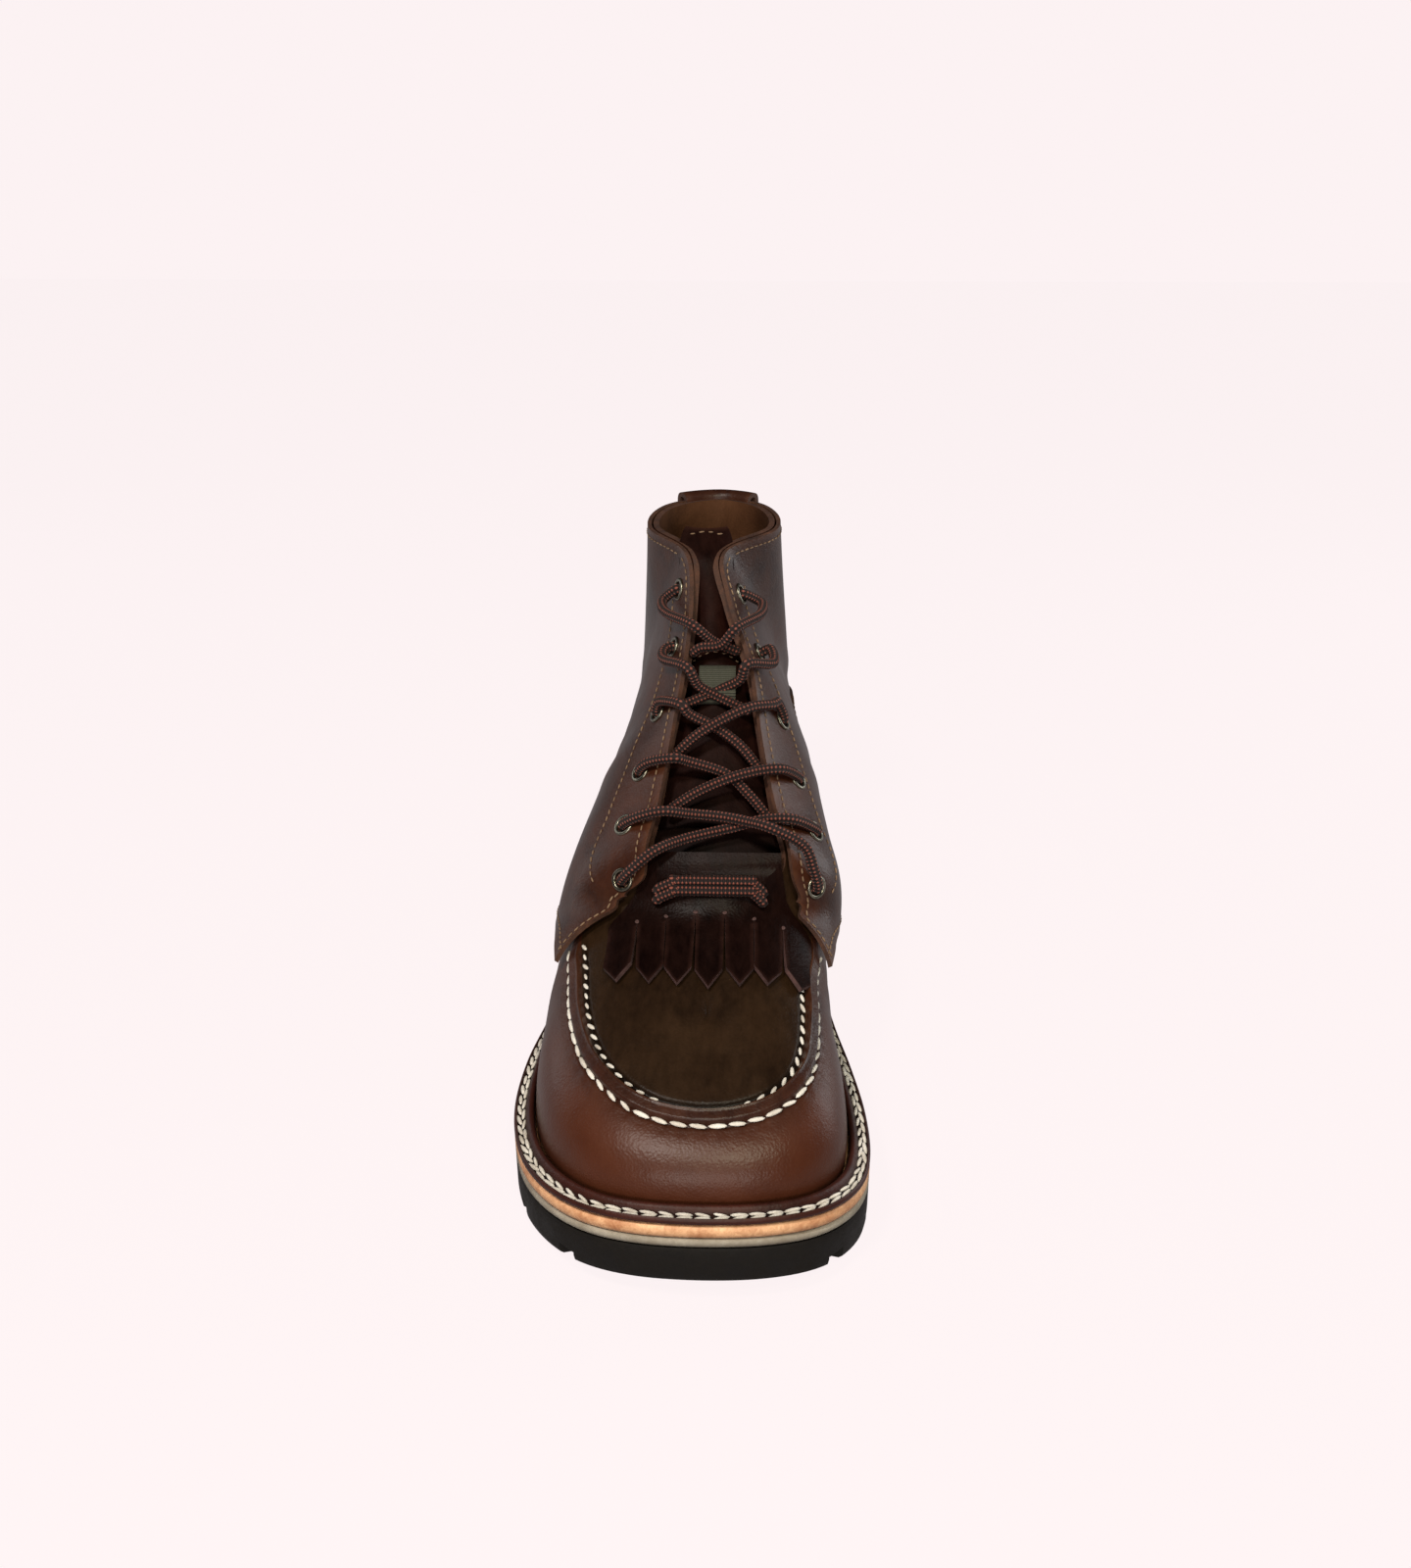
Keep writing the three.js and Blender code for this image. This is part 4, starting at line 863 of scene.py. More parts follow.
upper_places = np.unique(np.concatenate([even_places(170), [THROAT_RIB, THROAT_RIB + 0.05]]))
upper_levels = np.concatenate([np.linspace(0, 0.38, 26), np.linspace(0.39, 0.66, 66),
                               np.linspace(0.675, 1, 24)])
patches = []
for side in (LATERAL, MEDIAL):
    place, level = np.meshgrid(upper_places, upper_levels, indexing="ij")
    up = level * upper_top(place)
    bare = skin(side, place, up)
    raised = seam_relief(side, place, level) + crease_relief(side, bare)
    raised[:, -1] *= place[:, -1] > THROAT_RIB
    grid = bare + skin_normal(side, place, up) * raised[..., None]
    d, _ = seam_distance(side, place, level)
    seam = seam_fade(place)
    # Painted shade in the seam's channel and along its pulled foot line, and a painted shadow just above the
    # welt
    dark = seam * (0.8 * np.exp(-((d - 3.6) / 1.0) ** 2) + 0.35 * np.exp(-((d + 3.0) / 0.7) ** 2))
    welt_shadow = 0.45 * np.exp(-(level / 0.05) ** 2)
    plug = smooth(d, 2.0, 2.6) * (1 - smooth(place, 9, 10))
    lip = seam * np.exp(-((d - 1.9) / 0.3) ** 2)
    # A painted highlight low on the front of the toe
    toe = (1 - smooth(place, 4.5, 7)) * (1 - smooth(level, 0.35, 0.55)) * 0.55
    patches.append((grid, side == LATERAL, {"shade": np.clip(dark + welt_shadow, 0, 0.9), "rim": 0.8 * lip,
                                            "glow": toe, "plug": plug}))
OUTSIDE, PLUG = 0, 3  # slots of the list of materials
upper = sheet("upper_shell", patches, UPPER_WALL, [oiled_brown, lining_leather, cut_edge, dark_plug])

# The two halves of the plug meet on the centre line, which is smoothed so that no crest shows
CREST_HALF, CREST_FRONT, CREST_BACK, CREST_LOW, CREST_TURNS = 0.010, -0.100, -0.045, 0.048, 36  # in metres
shape = bmesh.new()
shape.from_mesh(upper.data)
centre = [v for v in shape.verts if abs(v.co.x - TO_WORLD[0] / 1000) < CREST_HALF
          and CREST_FRONT < v.co.y < CREST_BACK and v.co.z > CREST_LOW]
for _ in range(CREST_TURNS):
    bmesh.ops.smooth_vert(shape, verts=centre, factor=0.5, use_axis_z=True)
shape.to_mesh(upper.data)
shape.free()

# The plug is cut from the darker leather, on the outside only
plug_mark = np.zeros(len(upper.data.vertices), np.float32)
upper.data.attributes["plug"].data.foreach_get("value", plug_mark)
for face in upper.data.polygons:
    if face.material_index == OUTSIDE and plug_mark[list(face.vertices)].min() > 0.5:
        face.material_index = PLUG
dress(upper, "leather", "upper")

# %% [markdown]
# Each quarter is one piece of leather that runs from the flap over the vamp, up beside the lacing and
# back round the heel. Its cut edge is left raw and shows the orange-brown inside of the hide. The eyelets
# sit in punched holes, so the holes are really cut.


# %% The quarters
def above_welt(place):
    """The share of the rib that the welt hides"""
    tall = rib_tall(foot(LATERAL, place), place)
    return (WELT_THICK + WELT_RIB + 2 * GAP) / (3 * column("rise", place) * tall)


def quarter_low(place):
    down = smooth(place, FLAP_TIP[0], QUARTER_FOOT)
    return FLAP_TIP[1] + (above_welt(place) - FLAP_TIP[1]) * down


def quarter_high(side, place):
    rise = np.clip((place - FLAP_TIP[0]) / (FACING_FOOT - FLAP_TIP[0]), 0, 1)
    deep, wide = CORNER_ROUND[side]
    rounded = deep * np.exp(-((place - FACING_FOOT) / wide) ** 2)
    return FLAP_TIP[1] + (1 - FLAP_TIP[1]) * rise ** 1.25 - rounded


def flap_offset(place):
    return SKIN_GAP + FLAP_LIFT * (1 - smooth(place, 8, 10))


CORNER_ROUND = {LATERAL: (0.17, 0.3), MEDIAL: (0.2, 0.36)}  # how the corner over the kiltie is rounded off
EYELETS = 6  # a side
EYELET_PLACES = [12.6 - 4.75 * t - 4 * 0.18 * t * (1 - t) for t in np.linspace(0, 1, EYELETS)]
EYELET_INSET = {LATERAL: 11.0, MEDIAL: 14.5}


def on_quarter(side, place, up, lift=0.0):
    """A point on the outside of the quarter and the way out of it there"""
    place, up = np.atleast_1d(np.asarray(place, float)), np.atleast_1d(np.asarray(up, float))
    normal = skin_normal(side, place, up)
    bare = skin(side, place, up)
    raised = flap_offset(place) + OVERLAY + lift + crease_relief(side, bare)
    return bare + normal * raised[..., None], normal


def inset_up(side, place, inset):
    """How far up the rib a line lies that stays a few millimetres from the facing's edge"""
    return 1 - inset / stretch(side, place, 0.9)


def eyelet_seat(side, k, lift=0.0):
    place = EYELET_PLACES[k]
    point, normal = on_quarter(side, place, inset_up(side, np.array([place]), EYELET_INSET[side]), lift)
    return point[0], normal[0]


HOLE_RADIUS, HOLE_SIDES, HOLE_REACH = 2.6, 12, (-2.6, 3.0)


def punch(piece, side):
    """Cuts a round hole through the quarter at each eyelet"""
    points, faces = [], []
    for k in range(EYELETS):
        point, normal = eyelet_seat(side, k)
        side_way = np.cross(normal, (0, 0, 1.0))
        side_way /= np.linalg.norm(side_way)
        other = np.cross(normal, side_way)
        n, m = 2 * HOLE_SIDES * k, HOLE_SIDES
        for deep in HOLE_REACH:
            for a in np.linspace(0, math.tau, m, endpoint=False):
                across = math.cos(a) * side_way + math.sin(a) * other
                points.append(point + normal * deep + HOLE_RADIUS * across)
        faces += [[n + i, n + (i + 1) % m, n + m + (i + 1) % m, n + m + i] for i in range(m)]
        faces += [[n + i for i in range(m)][::-1], [n + m + i for i in range(m)]]
    return cut_away(piece, mended(new_piece("punch", points, faces, [])))


quarter_places = np.unique(np.concatenate([[FLAP_TIP[0], FACING_FOOT],
                                           even_places(150, 0.7, FLAP_TIP[0], LAST_RIB - 0.03)]))
for side, word in SIDES:
    share = np.linspace(0, 1, 70)
    place = np.repeat(quarter_places[:, None], len(share), 1)
    low, high = quarter_low(place), quarter_high(side, place)
    up = low + (high - low) * share
    grid = on_quarter(side, place.ravel(), up.ravel())[0].reshape(*place.shape, 3)
    tall = stretch(side, place, 0.7)
    rim = np.exp(-((high - up) * tall / 1.3) ** 2) + np.exp(-((up - low) * tall / 1.0) ** 2)
    # A painted highlight, stronger towards the top edge at the front of the quarter
    patch = {"shade": 0, "rim": np.clip(rim, 0, 1) * 0.75,
             "glow": 0.25 * smooth(up, 0.6, 1) * (1 - smooth(place, 9, 13))}
    quarter = sheet(f"quarter_{word}_leather", [(grid, side == LATERAL, patch)], OVERLAY,
                    [oiled_brown, lining_leather, cut_edge])
    dress(shade(punch(quarter, side)), "leather", "quarter_" + word)

# %% [markdown]
# At the heel, a counter cover wraps the back of the boot low down, and a narrow backstay covers the seam
# where the quarters meet. The pull tab is folded over the collar. The photograph shows only the edges of
# these.


# %% The counter, the backstay and the pull tab
BACK_OFFSET = OVERLAY + 0.5
COUNTER_FRONT, COUNTER_UP = 10.9, 0.4


def counter_high(place):
    front = 1 - smooth(place, COUNTER_FRONT, COUNTER_FRONT + 2.6)
    return COUNTER_UP * (1 - 0.62 * front)


def wrapped(name, half, low, high, count, rows, node):
    """A piece laid round the heel, half ribs long on each side, from low to high up the ribs"""
    places = even_places(count, 0.3, LAST_RIB - half, LAST_RIB)
    patches = []
    for side in (LATERAL, MEDIAL):
        place, share = np.meshgrid(places, np.linspace(0, 1, rows), indexing="ij")
        bottom, top = low(place), high(place)
        up = bottom + (top - bottom) * share
        grid = skin(side, place, up) + skin_normal(side, place, up) * (BACK_OFFSET + OVERLAY)
        tall = stretch(side, place, 0.4)
        rim = (np.exp(-((top - up) * tall / 1.2) ** 2) + np.exp(-((up - bottom) * tall / 1.2) ** 2)
               + np.exp(-((place - LAST_RIB + half) / 0.06) ** 2))
        patches.append((grid, side == LATERAL, {"shade": 0.12, "rim": np.clip(rim, 0, 1) * 0.7, "glow": 0}))
    return dress(sheet(name, patches, OVERLAY, [oiled_brown, cut_edge, cut_edge]), "leather", node)


wrapped("counter_cover", LAST_RIB - COUNTER_FRONT, lambda p: 0.07 + 0 * p, counter_high, 110, 34, "counter")
wrapped("backstay_strip", 0.5, lambda p: COUNTER_UP + 0.006 + 0 * p, lambda p: 0.97 + 0 * p, 14, 60, "backstay")

PULL_SPAN, PULL_THICK, PULL_STEPS = 0.62, 1.8, 40
outer, inner = BACK_OFFSET + OVERLAY + 2 * GAP, -UPPER_WALL - 2 * GAP
# The fold from outside to inside: how far above the collar, and how far out
pull_line = np.array([(-20, outer), (-10, outer), (0, outer), (2.4, outer - 1), (3.4, (outer + inner) / 2),
                      (2.4, inner + 1), (0, inner), (-12, inner)])
fine, knots = np.linspace(0, 1, PULL_STEPS), np.linspace(0, 1, len(pull_line))
pull_line = np.stack([np.interp(fine, knots, pull_line[:, k]) for k in (0, 1)], -1)
kernel = np.ones(5) / 5
rounded = np.stack([np.convolve(np.pad(pull_line[:, k], 2, mode="edge"), kernel, "valid") for k in (0, 1)], -1)
patches = []
for side in (LATERAL, MEDIAL):
    place = np.repeat(np.linspace(LAST_RIB - PULL_SPAN, LAST_RIB, 12)[:, None], PULL_STEPS, 1)
    above, away = np.broadcast_to(rounded[:, 0], place.shape), np.broadcast_to(rounded[:, 1], place.shape)
    tall = skin(side, place, 1)[..., 2] - midsole_top(foot(side, place)[..., 1]) - SKIN_GAP
    up = 1 + np.minimum(above, 0) / tall / column("drop", place) / 3
    grid = skin(side, place, up) + skin_normal(side, place, 1) * (away + PULL_THICK)[..., None]
    grid[..., 2] += np.maximum(above, 0)
    rim = np.exp(-((place - LAST_RIB + PULL_SPAN) / 0.07) ** 2)
    patches.append((grid, side == LATERAL, {"shade": 0.1, "rim": rim * 0.7, "glow": 0}))
dress(sheet("pull_loop", patches, PULL_THICK, [oiled_brown, cut_edge, cut_edge]), "leather", "pull_tab")

# %% [markdown]
# The tongue lies behind the lacing and bridges the gap between the facings. A blank webbing tab is sewn
# to it, and the laces run behind the tab.


# %% The tongue and its tab
def throat_line(place):
    place = np.atleast_1d(np.asarray(place, float))
    middle = lambda p: (skin(LATERAL, p, 1) + skin(MEDIAL, p, 1)) / 2
    along = middle(place + 0.1) - middle(place - 0.1)
    out = np.stack([0 * place, -along[..., 2], along[..., 1]], -1)
    return middle(place), out / np.linalg.norm(out, axis=-1, keepdims=True)


TOP_HALF = 10.0  # half the tongue's width at its top, in mm
TONGUE_FOOT, TONGUE_END, TONGUE_RISE = 6.4, 12.9, 13.0  # two places, and mm above the last of them


def tongue_at(place, across, raised):
    deep = UPPER_WALL + SKIN_GAP + GAP + TONGUE_THICK / 2
    inside = lambda side, up: skin(side, place, up) - skin_normal(side, place, up + 0 * place) * deep
    a, b, c, d = inside(LATERAL, 0.83), inside(LATERAL, 1.0), inside(MEDIAL, 1.0), inside(MEDIAL, 0.83)
    middle, half = (b + c) / 2, np.maximum((c[..., :1] - b[..., :1]) / 2, 6.0) * np.array([1.0, 0, 0])
    b, c = middle - half, middle + half
    out = throat_line(place)[1].reshape(a.shape)
    up_way = np.stack([0 * out[..., 0], out[..., 2], -out[..., 1]], -1)
    t = across[..., None]
    strip = bezier(a, b, c, d, t)
    bow = np.concatenate([TOP_HALF * (2 * t - 1), 5 * (2 * t - 1) ** 2, 0 * t], -1)
    strip += (middle + bow - strip) * smooth(place, 11.8, TONGUE_END)[..., None]
    return strip + up_way * raised[..., None], out


LOW_ROWS, TOP_ROWS, ACROSS = 110, 14, 40
rows = np.concatenate([np.linspace(TONGUE_FOOT, TONGUE_END, LOW_ROWS), np.full(TOP_ROWS, TONGUE_END)])
raised = np.concatenate([np.zeros(LOW_ROWS), np.linspace(0, TONGUE_RISE, TOP_ROWS + 1)[1:]])
place, t = np.meshgrid(rows, np.linspace(0, 1, ACROSS), indexing="ij")
up_more = np.repeat(raised[:, None], ACROSS, 1)
t = 0.5 + (t - 0.5) * np.sqrt(1 - 0.4 * (up_more / TONGUE_RISE) ** 2)
centre, out = tongue_at(place, t, up_more)
middle = np.exp(-((t - 0.5) / 0.3) ** 2)
ripple = 0.35 * np.sin(place * 5.1 + 0.6 * np.sin(place * 2.3)) * middle * smooth(12.4 - place, 0, 1)
grid = centre + out * (TONGUE_THICK / 2 + ripple)[..., None]
rim = np.exp(-((TONGUE_RISE - up_more) / 1.2) ** 2) * (up_more > 0)
# Painted shade: the lower tongue, deep in the throat, goes near black
painted_throat_shade = 0.75 * smooth(10.2 - place, 0, 2.6)
tongue = sheet("tongue_leather_piece", [(grid, True, {"shade": painted_throat_shade, "rim": rim * 0.6, "glow": 0})],
               TONGUE_THICK - 0.4, [tongue_leather, lining_leather, cut_edge])
dress(tongue, "dark_leather", "tongue")

TAB_PLACE, TAB_WIDE, TAB_LONG = 10.9, 13.0, 15.0
seat, out = tongue_at(np.array([TAB_PLACE]), np.array([0.5]), np.array([0.0]))
seat, out = seat[0], out[0]
up_way = np.array([0, out[2], -out[1]])
# a runs across the tab and b up it, from -0.5 to 0.5
a, b = np.meshgrid(np.linspace(-0.5, 0.5, 14), np.linspace(-0.5, 0.5, 30), indexing="ij")
fold = 0.9 * smooth(-b, 0.24, 0.3) * (1 - smooth(-b, 0.47, 0.5))
grid = (seat + a[..., None] * TAB_WIDE * np.array([1.0, 0, 0]) + b[..., None] * TAB_LONG * up_way
        + (2.2 + 4.4 * (1 - (2 * b) ** 4) + fold - 0.3 * (2 * a) ** 4)[..., None] * out)
tab = new_piece("webbing_tab", grid.reshape(-1, 3), grid_faces(14, 30), [tab_webbing],
                uv=np.stack([a.ravel() + 0.5, b.ravel() * TAB_LONG], -1))
wall = tab.modifiers.new("wall", "SOLIDIFY")
wall.thickness, wall.offset = 0.0011, -1
dress(shade(plain(tab)), "webbing", "tongue_tab")

# %% [markdown]
# The kiltie is a fringed tongue of thin dark leather that lies over the plug. Seven tails are cut with
# pointed ends, and a tiny hole stops each slit from tearing. Every tail lifts a little on its own.


# %% The kiltie
HALVINGS = 13


def reach(side, place, wide):
    """The point on a rib that lies wide mm from the centre line, found by halving"""
    low, high = np.full(place.shape, SEAM_UP), np.ones(place.shape)
    for _ in range(HALVINGS):
        middle = (low + high) / 2
        beyond = np.abs(skin(side, place, middle)[..., 0]) > wide
        low, high = np.where(beyond, middle, low), np.where(beyond, high, middle)
    return skin(side, place, low)


def on_plug(x, y):
    """The point of the skin above a point of the plan"""
    side = np.where(x < 0, LATERAL, MEDIAL)
    front, back = np.zeros(x.shape), np.full(x.shape, KILTIE_LAST_RIB)
    for _ in range(HALVINGS):
        middle = (front + back) / 2
        before = reach(side, middle, np.abs(x))[..., 1] < y
        front, back = np.where(before, middle, front), np.where(before, back, middle)
    return reach(side, front, np.abs(x))


def crest(y):
    """Height of the centre line"""
    places = np.linspace(0, CORNER_RIB, 400)
    return np.interp(y, column("topY", places) * LENGTH, column("topZ", places) * COLLAR_HEIGHT)


KILTIE_TIP, KILTIE_TOP, KILTIE_LAST_RIB = 69.0, 110.0, THROAT_RIB + 1.4
KILTIE_WIDE, TAIL_LONG, POINT_LONG, TAILS = 68.0, 20.0, 7.0, 7
KILTIE_GAP, KILTIE_THICK, KILTIE_NARROW, SLIT = 0.9, 1.5, 0.66, 0.7
SLIT_END = KILTIE_TIP + POINT_LONG + TAIL_LONG


def kiltie_share(y):
    """How wide the kiltie is, as a share: it narrows where it goes under the flaps"""
    return 1 - (1 - KILTIE_NARROW) * smooth(y, SLIT_END, KILTIE_TOP)


def kiltie_point(x, y):
    wide = x * kiltie_share(y)
    resting = on_plug(wide, y)
    rise = np.maximum(0, crest(y) - resting[..., 2]) * np.exp(-(wide / 12) ** 2) * smooth(y, 90, 100)
    return resting + np.stack([0 * y, y - resting[..., 1], rise + KILTIE_GAP + KILTIE_THICK], -1)


half, step = KILTIE_WIDE / 2, KILTIE_WIDE / TAILS
x, y = np.meshgrid(np.linspace(-half, half, 6 * TAILS + 1), np.linspace(SLIT_END, KILTIE_TOP, 10),
                   indexing="ij")
patches = [(kiltie_point(x, y), False, {"shade": 0, "rim": 0, "glow": 0})]
LIFTS = (0.9, 0.3, 0.5, 0.2, 0.4, 0.7, 1.1)  # how far the tip of each tail stands up, in mm
LEANS = (-0.6, 0.4, -0.2, 0.0, 0.3, -0.3, 0.7)  # and how far it leans sideways
for tail in range(TAILS):
    left = -half + tail * step
    shorter = 4 * ((left + step / 2) / half) ** 2
    edge, rise = np.meshgrid(np.linspace(-1, 1, 7), np.linspace(0, 1, 16), indexing="ij")
    tip = KILTIE_TIP + shorter + POINT_LONG * np.abs(edge)
    y = tip + (SLIT_END - tip) * rise
    x = left + step / 2 * (1 + edge) - edge * SLIT / 2 * (1 - rise) ** 0.3 + LEANS[tail] * (1 - rise) ** 2
    grid = kiltie_point(x, y)
    grid[..., 2] += LIFTS[tail] * (1 - rise) ** 2 - 0.25 * edge ** 2 * (1 - rise)
    sides, end = np.exp(-(((1 - np.abs(edge)) * step / 2) / 0.5) ** 2), np.exp(-(rise * 20 / 0.9) ** 2)
    patches.append((grid, False, {"shade": 0, "rim": np.clip(sides + end, 0, 1) * 0.8, "glow": 0}))
kiltie = sheet("kiltie_fringe", patches, KILTIE_THICK, [fringe_leather, cut_edge, fringe_edge])
dress(kiltie, "dark_leather", "kiltie")

# %% [markdown]
# Stitches repeat along a path, so one Geometry Nodes tree makes them all. The path is a line of points
# that also carries the way out of the leather. The tree walks along it in even steps, sets one plump
# stitch at each, turns it along the seam and a little aslant, and gives every stitch its own small change.


# %% The stitch tree
def tree_input(tree, name, kind, value=None):
    item = tree.interface.new_socket(name, in_out="INPUT", socket_type=kind)
    if value is not None:
        item.default_value = value
    return item.identifier


stitch_tree = bpy.data.node_groups.new("Stitch Row", "GeometryNodeTree")
stitch_tree.interface.new_socket("Geometry", in_out="OUTPUT", socket_type="NodeSocketGeometry")
STITCH_IDS = {
    "Path": tree_input(stitch_tree, "Path", "NodeSocketGeometry"),
    "Pitch": tree_input(stitch_tree, "Pitch", "NodeSocketFloat", 0.003),
    "Long": tree_input(stitch_tree, "Long", "NodeSocketFloat", 0.0024),
    "Wide": tree_input(stitch_tree, "Wide", "NodeSocketFloat", 0.0006),
    "High": tree_input(stitch_tree, "High", "NodeSocketFloat", 0.0005),
    "Slant": tree_input(stitch_tree, "Slant", "NodeSocketFloat", 0.1),
    "Uneven": tree_input(stitch_tree, "Uneven", "NodeSocketFloat", 0.1),
    "Seed": tree_input(stitch_tree, "Seed", "NodeSocketInt", 1),
    "Thread": tree_input(stitch_tree, "Thread", "NodeSocketMaterial"),
}
given = stitch_tree.nodes.new("NodeGroupInput").outputs
curve = out_of(stitch_tree, "GeometryNodeMeshToCurve", {0: given["Path"]})
walked = out_of(stitch_tree, "GeometryNodeResampleCurve", {"Curve": curve, "Length": given["Pitch"]},
                mode="LENGTH")
tangent = out_of(stitch_tree, "GeometryNodeInputTangent")
outward = out_of(stitch_tree, "GeometryNodeInputNamedAttribute", {0: "out"}, data_type="FLOAT_VECTOR")
turned = out_of(stitch_tree, "FunctionNodeAxesToRotation", {0: outward, 1: tangent},
                primary_axis="Z", secondary_axis="X")
ball = out_of(stitch_tree, "GeometryNodeMeshUVSphere", {"Segments": 8, "Rings": 7, "Radius": 0.5})
size = out_of(stitch_tree, "ShaderNodeCombineXYZ", {0: given["Long"], 1: given["Wide"], 2: given["High"]})
vary = add(stitch_tree, "FunctionNodeRandomValue",
           {2: maths(stitch_tree, "SUBTRACT", 1.0, given["Uneven"]),
            3: maths(stitch_tree, "ADD", 1.0, given["Uneven"]), "Seed": given["Seed"]},
           data_type="FLOAT").outputs[1]
grown = out_of(stitch_tree, "ShaderNodeVectorMath", {0: size, 3: vary}, operation="SCALE")
placed = out_of(stitch_tree, "GeometryNodeInstanceOnPoints",
                {"Points": walked, "Instance": ball, "Rotation": turned, "Scale": grown})
change = maths(stitch_tree, "MULTIPLY", maths(stitch_tree, "SUBTRACT", vary, 1.0), 1.5)
lean = out_of(stitch_tree, "ShaderNodeCombineXYZ", {2: maths(stitch_tree, "ADD", given["Slant"], change)})
leant = out_of(stitch_tree, "GeometryNodeRotateInstances", {"Instances": placed, "Rotation": lean})
real = out_of(stitch_tree, "GeometryNodeRealizeInstances", {0: leant})
round_ = out_of(stitch_tree, "GeometryNodeSetShadeSmooth", {0: real})
dyed = out_of(stitch_tree, "GeometryNodeSetMaterial", {"Geometry": round_, "Material": given["Thread"]})
add(stitch_tree, "NodeGroupOutput", {0: dyed})


def path_piece(name, points, outs):
    """A line of points that carry the way out of the leather"""
    mesh = bpy.data.meshes.new(name)
    points = (np.asarray(points, float) + TO_WORLD) / 1000
    mesh.from_pydata(points.tolist(), [(i, i + 1) for i in range(len(points) - 1)], [])
    carried = mesh.attributes.new("out", "FLOAT_VECTOR", "POINT").data
    carried.foreach_set("vector", np.asarray(outs, np.float32).ravel())
    piece = bpy.data.objects.new(name, mesh)
    bpy.context.scene.collection.objects.link(piece)
    return piece


def run_tree(piece, tree, ids, **inputs):
    made = piece.modifiers.new("made", "NODES")
    made.node_group = tree
    for name, value in inputs.items():
        made[ids[name]] = value
    return plain(piece)


def stitches(name, points, outs, thread, pitch, long, wide, high, slant=0.1, uneven=0.1, seed=1,
             finish="leather"):
    """A row of stitches, with all its sizes in millimetres"""
    piece = path_piece(name, points, outs)
    run_tree(piece, stitch_tree, STITCH_IDS, Pitch=pitch / 1000, Long=long / 1000, Wide=wide / 1000,
             High=high / 1000, Slant=slant, Uneven=uneven, Seed=seed, Thread=thread)
    return dress(piece, finish)


# %% The moc seam's two rows
def seam_row(d, lift, front_lift=0.0):
    """Points along the seam from the lateral end, round the toe, to the medial end"""
    points, outs = [], []
    for side, places in ((LATERAL, np.linspace(SEAM_END, 0, 160)),
                         (MEDIAL, np.linspace(0, SEAM_END, 160)[1:])):
        up = SEAM_UP + d / stretch(side, places, SEAM_UP)
        lift_here = lift + front_lift * (1 - smooth(places, 0.9, 1.5))
        normal = skin_normal(side, places, up)
        points.append(skin(side, places, up) + normal * lift_here[:, None])
        outs.append(normal)
    return np.concatenate(points), np.concatenate(outs)


stitches("moc_outer_row", *seam_row(-2.9, 0.25), thread_white, STITCH_PITCH, 5.5, 1.5, 1.25,
         slant=-0.12, uneven=0.12)
stitches("moc_inner_row", *seam_row(3.4, -0.45, -1.3), thread_white, 4.6, 3.5, 1.25, 1.1,
         slant=0.35, uneven=0.14, seed=4)


# %% The welt's two rows
def welt_row(share, high):
    """Points round the welt from the heel's centre, a share of the way from the rib to the edge"""
    _, out, _, rib, ledge = welt_frame(welt_sides, welt_places)
    points = welt_point(welt_sides, welt_places, rib + share * (ledge - rib), high * np.ones_like(ledge))
    points = np.roll(points, 1 - STATIONS, axis=0)
    lean = np.concatenate([0.25 * np.roll(out, 1 - STATIONS, axis=0), np.ones((len(points), 1))], -1)
    return points, lean / np.linalg.norm(lean, axis=-1, keepdims=True)


stitches("welt_outer_row", *welt_row(0.56, 2.1), thread_white, 5.2, 5.3, 1.35, 1.1, slant=0.16, seed=2)
stitches("welt_inner_row", *welt_row(0.22, 2.4), thread_white, 5.2, 5.0, 1.15, 1.1, slant=-0.14, seed=3)


# %% The fine rows on the quarters, the counter and the backstay
THREAD_LIFT = 0.12  # how far a row's middle stands over the leather, in mm
FINE_THREAD = {"pitch": 2.7, "long": 2.15, "wide": 0.62, "high": 0.5}


def quarter_row(name, side, places, ups, seed):
    points, outs = on_quarter(side, places, ups, THREAD_LIFT)
    return stitches(name, points, outs, thread_tan, slant=0.05, uneven=0.08, seed=seed, **FINE_THREAD)


for side, word in SIDES:
    run = np.concatenate([np.linspace(FLAP_TIP[0] + 0.2, 7.9, 60), even_places(140, 1.0, 7.95, 12.95)])
    run_up = quarter_high(side, run) - 3.0 / stretch(side, run, 0.85)
    quarter_row("facing_row_" + word, side, run, run_up, seed=11)
    around = even_places(160, 1.0, 13.2, LAST_RIB - 0.7)
    quarter_row("collar_row_" + word, side, around, inset_up(side, around, 3.4), seed=12)
    stay = even_places(160, 1.0, 7.9, 12.9)
    stay_inset = np.interp(stay, [7.9, 8.6, 10, 11.5, 12.9], [24, 23, 21, 19, 18])
    quarter_row("eyestay_row_" + word, side, stay, inset_up(side, stay, stay_inset), seed=13)
    hem = even_places(160, 0.3, FLAP_TIP[0] + 0.2, QUARTER_FOOT - 0.1)
    hem_up = quarter_low(hem) + 2.8 / stretch(side, hem, 0.4)
    quarter_row("hem_row_" + word, side, hem, hem_up, seed=14)

